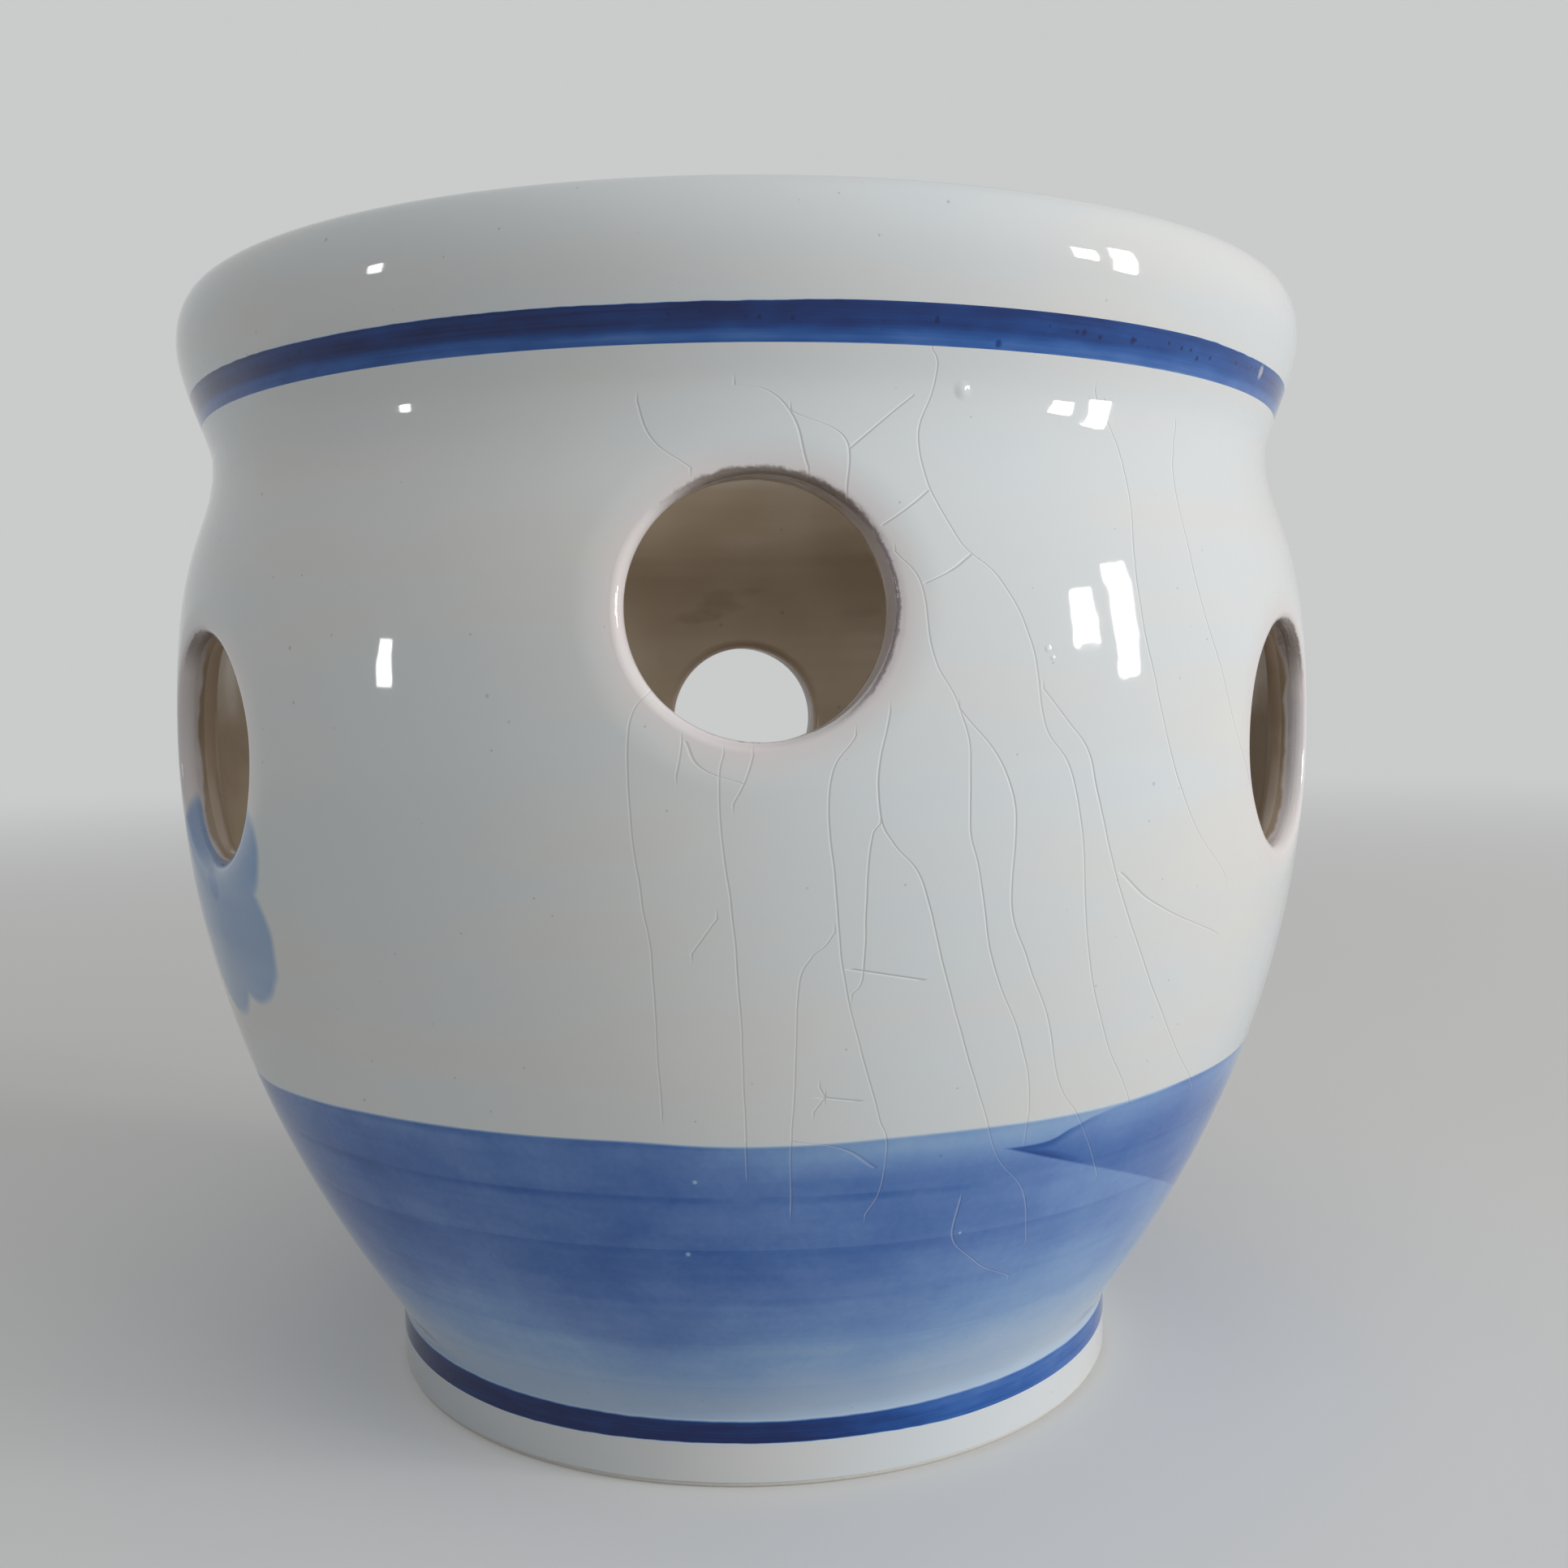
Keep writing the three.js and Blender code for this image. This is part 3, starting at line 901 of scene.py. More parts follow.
def set_routes(mapping, routes):
    """Each curve of a mapping through its own (place, value) stations, smooth and without overshoot."""
    for curve, stations in zip(mapping.curves, routes):
        while len(curve.points) < len(stations):
            curve.points.new(0.5, 0.5)
        for point, station in zip(curve.points, stations):
            point.location = station
            point.handle_type = "AUTO_CLAMPED"
    mapping.update()


def flat(colour):
    """A colour property as a socket value."""
    return (*colour, 1.0)


# Colours that stay as they are: specks and marks in the glaze, the painted highlight and painted
# shade beside its cracks, and the grains of the clay
FRECKLE = chart(126, 116, 104)
# A crack's relief as painted light: its painted highlight, its painted shade, and that shade in the wash
CRACK_PAINTED_HIGHLIGHT = chart(246, 247, 246)
CRACK_PAINTED_SHADE = chart(98, 96, 95)
CRACK_PAINTED_SHADE_IN_BLUE = chart(38, 52, 104)
HOLE_GREY = chart(172, 160, 168)
HOLE_LINE = chart(118, 98, 96)
SMUDGE = chart(122, 106, 88)
INNER_SPECK = chart(98, 84, 70)
DARK_CLAY = chart(190, 158, 136)
SAND = chart(128, 92, 70)
CLAY_GRAIN = chart(222, 200, 182)
GLAZE_SMEAR = chart(220, 218, 212)

# How blue deepens as the paint lies thicker: its share of the glaze's own colour
BLUE_STOPS = (
    (0.0, 1.0, 1.0, 1.0),
    (0.1, 0.67, 0.79, 0.95),
    (0.2, 0.48, 0.645, 0.90),
    (0.3, 0.34, 0.53, 0.86),
    (0.4, 0.245, 0.425, 0.80),
    (0.5, 0.162, 0.31, 0.70),
    (0.6, 0.09, 0.225, 0.61),
    (0.7, 0.034, 0.155, 0.53),
    (0.8, 0.008, 0.095, 0.40),
    (0.9, 0.002, 0.05, 0.26),
    (1.0, 0.001, 0.02, 0.15),
)

# Crazing: each crack as (turn in degrees, height in mm) stations from its top to its bottom
CRACKS = (
    ((-8, 82), (-9.7, 76.5), (-9, 64), (-8.4, 57), (-8.5, 44)),
    ((-2.7, 76.6), (-3.1, 73.5), (-2.4, 64), (-1.8, 52.1), (-1.6, 38)),
    ((6.8, 78), (4.8, 72), (5.3, 65.4), (6, 57.5), (7.6, 50.1), (9.6, 43.1), (10.5, 39.5), (10.4, 36.5),
     (9.2, 33)),
    ((9.4, 80), (8.5, 74), (8.7, 70.6), (9.6, 68.7), (11.7, 65.8), (12.6, 62.7), (14.4, 55.8),
     (19.4, 42), (21.3, 38), (25.5, 33), (28, 27)),
    ((8.6, 70.4), (8, 69.3), (7.7, 65.3), (7.6, 58.2), (7.5, 56.7), (6.7, 55.3)),
    ((10.2, 93.6), (12.1, 90.6), (12.7, 85.2), (14.7, 80.2), (15.6, 76), (15.6, 70.3), (16.4, 66.2),
     (18, 57.9), (21.5, 49.6), (23.5, 43.2), (24, 39)),
    ((14.7, 80.2), (18.5, 74.3), (19.4, 70), (19.3, 64), (21.3, 57.2), (23.7, 51.9), (26.4, 44.5),
     (29.3, 41), (35, 33)),
    ((14, 111.4), (14.7, 110), (13, 103), (15.2, 95), (18.4, 91.3), (20.8, 85.8), (21.9, 78.4),
     (23.9, 75.1), (25, 71.2), (26.8, 59), (29.4, 51), (36, 41)),
    ((21.7, 81.7), (24.1, 78.6), (25.7, 76.4), (26.8, 72.2), (29.8, 63), (39, 48), (47.5, 40)),
    ((30, 109), (32.6, 102), (31.5, 92), (33.4, 80), (36.6, 71), (44, 62.5)),
    ((40.8, 107), (38.5, 97), (42, 82), (47, 71)),
    ((5.3, 61), (4.6, 59.8), (3.6, 58.8), (2.6, 55.7), (2.4, 46.1), (2.2, 40.9), (2.3, 34)),
    ((-1.6, 108.2), (0.6, 107.9), (2.7, 106), (4, 101)),
    ((2.8, 106), (7.3, 102.6), (6.8, 99)),
    ((12.8, 107.5), (10.6, 105.6), (7.3, 102.6)),
    ((-9.3, 107), (-8.3, 104), (-5, 101)),
    ((-5.7, 77.7), (-5.9, 76.4), (-6.2, 74.8)),
    ((-5.4, 77.7), (-4.5, 75.6), (-1.3, 74)),
    ((-0.6, 76.4), (-1.1, 74.6), (-2.1, 72.3)),
    ((13.3, 99), (11.8, 97.7), (9.4, 95.9)),
    ((16.2, 93.4), (14.5, 92), (12.4, 90.9)),
    ((29.7, 64.7), (33.5, 61.6), (44, 57)),
    ((18.5, 33.4), (18.4, 30.5), (21.8, 26), (27.5, 22.8)),
    ((6.8, 57.6), (12.4, 56.3)),
    ((-3.4, 62.4), (-5.4, 59.3)),
    ((4.4, 46.6), (4.9, 45.6)),
    ((4.9, 45.6), (7.8, 45.1)),
    ((4.9, 45.6), (4, 44.2)),
    ((2.4, 41.3), (6.5, 40.4), (9.7, 38.1)),
)

# Half the width of a crack's painted line where it is full and where it ends, how far to the left its
# painted highlight runs, both in mm, and the share that counts of what lies past a steep crack's ends
CRACK_WIDTH = (0.02, 0.11)
HIGHLIGHT_ASIDE = 0.13
PAST_STEEP_END = 0.08

# Painted flowers, as (turn, height, angle of a petal in degrees, size)
FLOWERS = ((-57.8, 62.3, 36, 0.94), (81, 83, 108, 0.8), (148, 62, 0, 0.9), (-148, 61, 24, 0.94))
PETAL_OUT = 8.25
PETAL_RADIUS = 7.5

# Faults of the glaze, as (turn, height, radius in mm)
PIMPLES = ((17, 108.1, 1.0), (22.2, 85.2, 0.4), (22.6, 84.4, 0.3))
# Small bumps in the wash; each is also lightened in colour as a painted highlight
WASH_BUMPS = ((-6.2, 37.2, 0.3), (-7.4, 29.2, 0.32), (19.2, 29.6, 0.22))
BAND_SPECKS = (
    (14.2, 113.6, 0.3), (19.7, 112.1, 0.45), (27.6, 113.7, 0.35), (33, 113.6, 0.4), (42, 113.2, 0.35)
)
RIM_CHIP = (55.5, 114.0, 0.8)

# Radius of the wall at each kind of mark, in mm
WALL_AT_FLOWERS = 66.5
WALL_AT_CRACKS = 66
WALL_AT_PIMPLES = 64
WALL_AT_WASH_BUMPS = 58
WALL_AT_RIM_BAND = 65


def tin_glaze(name, paint, warmth=1.0):
    """White tin glaze, cool where it is thick and warm where it is thin, with freckles from the clay.

    Returns the finish, its colour, its relief and the drift between thick and thin.
    """
    finish = Finish(name, roughness=0.045)
    drift = finish.noise(38.0, seed=1.0) + finish.noise((60.0, 60.0, 6.0), seed=2.0) * 0.6
    colour = finish.mix(drift.rise(-0.6, 0.7, warmth), flat(paint.cool_white), flat(paint.warm_white))
    freckles = finish.specks(5.0, 0.4, 0.26, 4.0).most(finish.specks(1.7, 0.2, 0.15, 15.0))
    colour = finish.mix(freckles * 0.36, colour, FRECKLE)
    relief = finish.noise((14.0, 14.0, 7.0), seed=81.0) * 0.03
    relief = relief + finish.noise(2.0, 1.0, 0.6, seed=85.0) * 0.0045
    return finish, colour, relief, drift


def tinted(finish, colour, blue):
    """A glaze's colour under blue paint of a thickness."""
    tint = finish.node("ShaderNodeValToRGB", {"stops": BLUE_STOPS}, (blue,))
    return finish.mix(1.0, colour, tint, "MULTIPLY")


def brushed_wash(finish, paint):
    """How thickly the pale wash lies.

    It was laid on in rings about 6 mm high on the turning wheel, each a little darker where it meets the
    last, and it thins towards the foot. It is paler towards the right, partly from thinner paint and
    partly as painted light where the lamps fall. Its upper edge wanders by a few tenths of a millimetre
    in front. A second load overlaps it on the right.
    """
    high = paint.wash_high / MM
    wave = finish.noise(45.0, seed=3.0)
    height = finish.height + wave * 0.35
    turn = finish.turn
    body = 0.12 + height.rise(7.4, 20.0, 0.26) + height.rise(18.0, 30.0, 0.17)
    body = body - height.rise(34.0, 41.0, 0.09)
    # Paler round to the right: partly thinner paint, partly painted light where the lamps fall
    side = 1.08 - turn.rise(-10.0, 38.0, 0.32) + turn.rise(62.0, 95.0, 0.32)
    brush = 5.9
    ring = (high - height) * (1 / brush)
    number = {"W": ring.math("FLOOR")}
    chance = finish.node("ShaderNodeTexWhiteNoise", {"noise_dimensions": "1D"}, number)
    seam = (abs(ring.math("FRACT") - 0.04) * brush).fall(0.0, 0.9)
    broken = finish.noise((12.0, 12.0, 4.0), 2.0, seed=33.0)
    laid = chance * 0.07 + seam * broken.rise(-0.6, 0.4) * (0.03 + height.rise(33.0, 34.5, 0.1))
    streaks = finish.noise((45.0, 45.0, 1.6), 2.0, 0.65, 5.0) * 0.05
    blots = finish.noise((16.0, 16.0, 11.0), 2.0, 0.65, 12.0) * 0.2
    blots = blots + finish.noise(0.9, 1.0, 0.6, 17.0) * 0.04
    lower = turn.times_plus(-0.37, 46.7)
    upper = finish.curve(turn, 21.3, 53.3, (38.8, 38.75, 39.8, 40.8, 41.1, 41.2, 41.6, 42.2, 43.0))
    above, below = height - lower, upper - height
    overlap = above.least(below).rise(0.0, 0.35) * turn.fall(50.0, 70.0) * turn.rise(21.3, 21.8)
    outline = above.least(below).fall(0.2, 1.3) * turn.fall(27.0, 34.0)
    wander = finish.curve(turn, -60.0, 60.0, (-1.0, -0.2, 0.2, 0.25, -0.3, 0.0, -0.15, 0.2, 0.3))
    from_top = high - 0.14 + wander * abs(turn).fall(60.0, 95.0) - finish.height
    brushed = (body + (laid + streaks + blots) * body.rise(0.0, 0.4)) * side
    thin_edge = turn.rise(-6.0, 12.0) * turn.fall(110.0, 150.0)
    brushed = brushed * (1.0 - from_top.fall(0.5, 5.0, 0.38) * thin_edge)
    return (brushed + overlap * (0.19 + outline * 0.2)).most(0.03) * from_top.rise(0.0, 0.4)


def band_paint(finish, low, high, lower_softness, upper_softness, seed):
    """A brushed band between two heights: its cover, its brush marks and the height with its wobble."""
    wobble = finish.noise(22.0, seed=seed) * 0.1 + finish.noise(2.0, seed=seed + 1) * 0.06
    height = finish.height + wobble
    cover = height.rise(low + 0.12, low + 0.12 + lower_softness) * height.fall(
        high - 0.12 - upper_softness, high - 0.12
    )
    lines = finish.noise((40.0, 40.0, 0.6), 2.0, 0.7, seed + 2) * 0.14
    blots = finish.noise((6.0, 6.0, 2.0), 2.0, 0.6, seed + 3) * 0.12
    return cover, lines + blots, height


def flowers(finish):
    """Plain flowers of five round petals.

    A fold of the angle round a flower brings every petal onto one circle. The distance to the circle's
    middle, less its radius, is below 0 inside a petal.
    """
    cover = None
    ragged = finish.noise(5.0, seed=57.0) * 0.7
    for turn, where, first, size in FLOWERS:
        across = (finish.turn - turn) * (math.radians(1) * WALL_AT_FLOWERS)
        up = finish.height - where
        angle = up.math("ARCTAN2", across) - math.radians(first)
        fold = angle.math("PINGPONG", math.radians(36))
        squared = across * across + up * up
        along = squared.power(0.5) * fold.math("COSINE")
        gap = (squared - along * (2 * PETAL_OUT * size) + (PETAL_OUT * size) ** 2).power(0.5)
        edge = gap - PETAL_RADIUS * size + ragged
        flower = edge.fall(-0.8, 0.5, 0.27).most(squared.fall(0.3, 9.0, 0.42))
        cover = flower if cover is None else cover.most(flower)
    return cover * (1.0 + finish.noise((20.0, 20.0, 5.0), seed=61.0) * 0.45)


def crazing(finish, low, high):
    """Nearness to the cracks between two heights, and to a line just left of each.

    Three cracks share the components of each vector. A crack is a curve of turn against its share of the
    height. The distance from it is the difference in turn times the arc of one degree, lessened by the
    crack's slope, plus what lies past its ends. Of that a steep crack counts only a small share, so that
    it thins out over a millimetre.
    """
    routes = [route for route in CRACKS if route[0][1] > low and route[-1][1] < high]
    routes += routes[-1:] * (-len(routes) % 3)
    ripple = finish.noise(5.0, seed=71.0) * 0.12
    turns = finish.node("ShaderNodeCombineXYZ", {}, (finish.turn + ripple,) * 3)
    heights = finish.node("ShaderNodeCombineXYZ", {}, (finish.height,) * 3)
    arc_of_degree = math.radians(1) * WALL_AT_CRACKS
    groove_shade = ridge_highlight = None
    for first in range(0, len(routes), 3):
        group = routes[first:first + 3]
        top = tuple(route[0][1] for route in group)
        depth = tuple(route[0][1] - route[-1][1] for route in group)
        left = tuple(min(turn for turn, _ in route) for route in group)
        span = tuple(max(turn for turn, _ in route) - start for route, start in zip(group, left))
        scale = tuple(
            arc_of_degree / math.hypot(1, wide * arc_of_degree / deep) for wide, deep in zip(span, depth)
        )
        stations = [
            [((route[0][1] - up) / deep, (turn - start) / wide) for turn, up in route]
            for route, deep, start, wide in zip(group, depth, left, span)
        ]
        each_mm = tuple(-1 / deep for deep in depth)
        from_top = tuple(start / deep for start, deep in zip(top, depth))
        share = finish.vector("MULTIPLY_ADD", heights, each_mm, from_top)
        inside = finish.vector("MINIMUM", finish.vector("MAXIMUM", share, 0.0), 1.0)
        curve = finish.node("ShaderNodeVectorCurve", {"routes": stations}, {"Vector": inside})
        past = finish.vector("SUBTRACT", share, inside)
        fading = tuple(
            deep * (PAST_STEEP_END if deep > wide else 1.0) for wide, deep in zip(span, depth)
        )
        beyond = finish.vector("ABSOLUTE", finish.vector("MULTIPLY", past, fading))
        from_left = tuple(-start * size for start, size in zip(left, scale))
        offset = finish.vector("MULTIPLY_ADD", turns, scale, from_left)
        across = tuple(-wide * size for wide, size in zip(span, scale))
        aside = finish.vector("MULTIPLY_ADD", curve, across, offset)
        near = finish.vector("ADD", finish.vector("ABSOLUTE", aside), beyond)
        # Distance to the line of painted highlight just left of the crack
        light = finish.vector("ABSOLUTE", finish.vector("ADD", aside, HIGHLIGHT_ASIDE))
        beside = finish.vector("ADD", light, beyond)
        groove_shade = near if groove_shade is None else finish.vector("MINIMUM", groove_shade, near)
        ridge_highlight = beside if ridge_highlight is None else finish.vector("MINIMUM", ridge_highlight, beside)
    # The first is nearness to the cracks' painted shade, the second to their painted highlight
    nearest = []
    for gaps in (groove_shade, ridge_highlight):
        first, second, third = finish.node("ShaderNodeSeparateXYZ", {}, (gaps,)).outputs()
        nearest.append(first.least(second).least(third).fall(*CRACK_WIDTH))
    return nearest


def crazed(finish, colour, drift, low, high, light=0.75, dark=CRACK_PAINTED_SHADE):
    """A glaze's colour with its cracks: a fine line of painted shade and a painted highlight beside it,
    faint in places.
    """
    # Painted shade in each crack and a painted highlight beside it; light sets the highlight's strength
    groove_shade, ridge_highlight = crazing(finish, low, high)
    clear = 1.0 - drift.rise(-0.9, 0.9, 0.7)
    colour = finish.mix(ridge_highlight * clear * light, colour, CRACK_PAINTED_HIGHLIGHT)
    return finish.mix(groove_shade * clear * 0.5, colour, dark)


def hole_place(finish):
    """A place beside a hole: across and up in millimetres, and the distance past the hole's edge."""
    attribute = finish.node("ShaderNodeAttribute", {"attribute_name": "hole"}, (), "Vector")
    return finish.node("ShaderNodeSeparateXYZ", {}, (attribute,)).outputs()


def hole_margin(finish, paint, colour, relief):
    """The colour and relief of the glaze beside a hole.

    It sinks towards the hole and thins to pink. It is browned above and grey to the right, with stains
    above and below that are strongest in front.
    """
    across, up, edge = hole_place(finish)
    bore = bpy.context.scene.pot_holes.bore / MM
    rough = finish.noise(0.9, 2.0, 0.7, 95.0)
    patchy = finish.noise(6.0, seed=97.0)
    blush = edge.fall(0.2, 3.8) * (0.5 + patchy * 0.3)
    colour = finish.mix(blush, colour, flat(paint.blush))
    fuzz = edge + rough * 0.4
    above = (up + across * 0.15).rise(0.5 * bore, 0.95 * bore)
    front = abs(finish.turn).fall(20.0, 40.0, 0.85) + 0.15
    right = (across + up * 0.2).rise(0.3 * bore, 0.85 * bore) * front
    colour = finish.mix(edge.fall(0.0, 1.3) * right * 0.6, colour, HOLE_GREY)
    line = fuzz.fall(0.3, 0.55).least(fuzz.rise(-0.2, 0.15))
    colour = finish.mix(line * right * 0.65, colour, HOLE_LINE)
    colour = finish.mix(fuzz.fall(0.35, 0.85) * above * 0.85, colour, flat(paint.scorched_clay_and_shade))
    below = (up * -1.0).rise(0.5 * bore, 0.9 * bore)
    stains = (rough + patchy * 0.4 + edge.fall(-0.5, 0.2)).rise(1.1, 1.4)
    stains = stains * (below + above).least(front)
    colour = finish.mix(stains * 0.6, colour, flat(paint.scorched_clay_and_shade))
    past_edge = (across * across + up * up).power(0.5) - bore
    sunk = (1.0 - past_edge * 0.22).most(0.0)
    relief = relief - sunk * sunk * 0.8 * edge.fall(6.0, 9.0)
    relief = relief + rough * edge.fall(0.3, 1.0) * (above + right + 0.15) * 0.04
    return colour, relief


def belly_finish(paint):
    """The glaze of the belly, with its flowers, its cracks and a few pimples."""
    finish, colour, relief, drift = tin_glaze("white_glaze_belly", paint)
    colour, relief = hole_margin(finish, paint, colour, relief)
    colour = tinted(finish, colour, flowers(finish))
    for turn, where, radius in PIMPLES:
        relief = relief + finish.away(turn, where, WALL_AT_PIMPLES).fall(0.0, radius) * (0.16 * radius)
    finish.paint(crazed(finish, colour, drift, paint.wash_high / MM, paint.rim_band_low / MM))
    finish.relief(relief)
    return finish.material


def wash_finish(paint):
    """The glaze of the lower body under its brushed wash, with small bumps lightened by a painted
    highlight.
    """
    finish, colour, relief, drift = tin_glaze("pale_blue_wash", paint, 0.2)
    # The paint is thinned over each small bump as a painted highlight, and the bump is raised a little
    bumps_and_glints = None
    for turn, where, radius in WASH_BUMPS:
        bump_and_glint = (finish.away(turn, where, WALL_AT_WASH_BUMPS) + drift * 0.1).fall(0.3 * radius, radius)
        bumps_and_glints = bump_and_glint if bumps_and_glints is None else bumps_and_glints.most(bump_and_glint)
    colour = tinted(finish, colour, brushed_wash(finish, paint) * (1.0 - bumps_and_glints * 0.65))
    finish.paint(crazed(finish, colour, drift, 0.0, paint.wash_high / MM, 0.3, CRACK_PAINTED_SHADE_IN_BLUE))
    finish.relief(relief + bumps_and_glints * 0.05)
    return finish.material


def foot_band_finish(paint):
    """The band above the foot: one full stroke, crisp below and softer where it meets the wash."""
    finish, colour, relief, _ = tin_glaze("cobalt_foot_band", paint, 0.2)
    low, high = paint.foot_band_low / MM, paint.foot_band_high / MM
    sagging = low - 0.25 + finish.turn.rise(-45.0, -10.0, 0.4) * finish.turn.fall(12.0, 32.0)
    cover, brush, height = band_paint(finish, sagging, high, 0.15, 0.35, 41.0)
    # Paler round to the right: partly thinner paint, partly painted light where the lamps fall
    side = 0.98 - finish.turn.rise(-2.0, 34.0, 0.31) + finish.turn.rise(55.0, 90.0, 0.31)
    blue = (cover * (side + brush)).most(height.rise(high - 0.9, high, 0.1))
    finish.paint(tinted(finish, colour, blue))
    finish.relief(relief)
    return finish.material


def rim_band_finish(paint):
    """The band under the rim: full above, thin along its lower edge and specked along its middle."""
    finish, colour, relief, _ = tin_glaze("cobalt_rim_band", paint, 0.2)
    low, high = paint.rim_band_low / MM, paint.rim_band_high / MM
    swelling = high + finish.turn.rise(-5.0, 22.0, 0.35) * finish.turn.fall(32.0, 52.0)
    cover, brush, height = band_paint(finish, low - 0.35, swelling, 0.35, 0.12, 51.0)
    # Paler round to the right: partly thinner paint, partly painted light where the lamps fall
    side = 1.06 - finish.turn.rise(-5.0, 35.0, 0.13) + finish.turn.rise(60.0, 90.0, 0.13)
    depth = 0.68 + height.rise(low + 0.5, low + 1.7, 0.21)
    depth = depth + height.rise(high - 0.7, high - 0.1, 0.03)
    middle = abs(height - (low + 0.55 * (high - low))).fall(0.2, 1.0)
    specks = finish.specks(1.3, 0.6, 0.28, 8.0) * middle
    for turn, where, radius in BAND_SPECKS:
        specks = specks.most(finish.away(turn, where, WALL_AT_RIM_BAND).fall(0.3 * radius, radius))
    colour = tinted(finish, colour, cover * (depth * side + brush + specks * 0.22).least(1.0))
    turn, where, radius = RIM_CHIP
    chip = (finish.away(turn, where, WALL_AT_RIM_BAND) + brush).fall(0.3, radius)
    finish.paint(finish.mix(chip * 0.5, colour, flat(paint.warm_white)))
    finish.relief(relief - chip * 0.08)
    return finish.material


def plain_glaze_finish(name, paint):
    """Tin glaze with nothing painted on it."""
    finish, colour, relief, _ = tin_glaze(name, paint)
    finish.paint(colour)
    finish.relief(relief)
    return finish.material


def hole_wall_finish(paint):
    """Thin glaze over cut clay, browner above from scorch and painted shade, with the poured glaze
    running over its inner end.
    """
    finish = Finish("thin_glaze_on_cut_clay", roughness=0.16)
    across, up, edge = hole_place(finish)
    bore = bpy.context.scene.pot_holes.bore / MM
    rough = finish.noise(1.4, 2.0, 0.65, 101.0)
    colour = finish.mix(rough.rise(0.2, 1.0, 0.4), flat(paint.hole_wall), flat(paint.clay))
    # Browner towards the top of the bore: partly scorched clay, partly painted shade of the downward
    # wall
    above = (up + across * 0.15).rise(0.45 * bore, 1.0 * bore)
    colour = finish.mix(above * (0.6 + rough * 0.25), colour, flat(paint.scorched_clay_and_shade))
    drag = finish.noise(7.0, 2.0, 0.6, 105.0)
    run = (edge + drag * 0.8 + rough * 0.15).fall(-2.4, -1.8)
    colour = finish.mix(run, colour, flat(paint.inner_deep))
    finish.paint(colour)
    finish.relief(rough * 0.03 + drag * 0.12 + run * 0.08)
    return finish.material


def poured_colour(finish, paint, drift):
    """The poured glaze's colour, and how far it gives way to the white along its uneven top."""
    thick = finish.noise(30.0, 2.0, 0.6, 111.0)
    light = (thick + drift * 0.4).rise(-0.7, 0.7)
    colour = finish.mix(light, flat(paint.inner_deep), flat(paint.inner_light))
    top = paint.rim_band_low / MM
    return colour, (finish.height + thick * 4.0 - finish.x * 0.05).rise(top + 0.5, top + 9.0)


def rim_finish(paint):
    """The rim's white glaze, over the upper end of the poured glaze in the mouth."""
    finish, white, relief, drift = tin_glaze("white_glaze_rim", paint)
    colour, above = poured_colour(finish, paint, drift)
    poured = (1.0 - above) * finish.radius().fall(60.5, 61.5)
    finish.paint(finish.mix(poured, white, colour))
    finish.gloss(poured.times_plus(0.155, 0.045))
    finish.relief(relief)
    return finish.material


def inner_glaze_finish(paint):
    """The poured inner coat: warm, uneven, smudged behind and running up into the rim's white glaze."""
    finish, white, _, drift = tin_glaze("poured_inner_glaze", paint)
    finish.shader.inputs["Roughness"].default_value = 0.2
    colour, above = poured_colour(finish, paint, drift)
    cloud = finish.noise((11.0, 11.0, 7.0), 2.0, 0.6, 117.0)
    across = finish.x + 3.6
    up = finish.height - 94.8 - across * 0.3
    streaky = finish.noise((6.0, 6.0, 3.0), 2.0, 0.6, 123.0)
    finger = (across * across * 0.1 + up * up - streaky * 9.0).fall(-3.0, 7.0) * finish.y.rise(0.0, 1.0)
    smudge = (cloud.rise(0.2, 0.75) * 0.3).most(finger * 0.36)
    colour = finish.mix(smudge, colour, SMUDGE)
    _, _, edge = hole_place(finish)
    rough = finish.noise(1.2, 2.0, 0.7, 119.0)
    colour = finish.mix((edge + rough * 0.6).fall(-0.5, 1.5, 0.3), colour, flat(paint.clay))
    colour = finish.mix(finish.specks(5.0, 0.5, 0.4, 13.0) * 0.3, colour, INNER_SPECK)
    finish.paint(finish.mix(above, colour, white))
    rings = finish.noise((90.0, 90.0, 4.0), 1.0, 0.5, 121.0) * 0.1
    finish.relief(rings + finish.noise(9.0, seed=125.0) * 0.03 + rough * 0.003)
    return finish.material


def clay_finish(paint):
    """Bare fired earthenware with a fine grain and sand, smeared with glaze outside the foot ring."""
    finish = Finish("fired_earthenware", roughness=0.8, specular=0.3)
    grain = finish.noise(0.5, 3.0, 0.7, 131.0)
    drift = finish.noise(9.0, 2.0, 0.6, 133.0)
    colour = finish.mix(drift.rise(-0.6, 0.6), DARK_CLAY, flat(paint.clay))
    colour = finish.mix(finish.specks(1.1, 0.5, 0.2, 17.0) * 0.6, colour, SAND)
    colour = finish.mix(grain.rise(0.2, 0.9, 0.25), colour, CLAY_GRAIN)
    smear = (finish.radius() + drift * 0.5).rise(42.4, 43.7, 0.93)
    finish.paint(finish.mix(smear, colour, GLAZE_SMEAR))
    finish.relief(grain * 0.05 + drift * 0.05)
    return finish.material


def seen_rays(tree):
    """1 for rays from the camera and from gloss or glass, 0 for the light that falls on things."""
    path = tree.nodes.new("ShaderNodeLightPath")
    seen = path.outputs["Is Camera Ray"]
    for name in ("Is Glossy Ray", "Is Transmission Ray"):
        either = tree.nodes.new("ShaderNodeMath")
        either.operation = "MAXIMUM"
        tree.links.new(seen, either.inputs[0])
        tree.links.new(path.outputs[name], either.inputs[1])
        seen = either.outputs[0]
    return seen


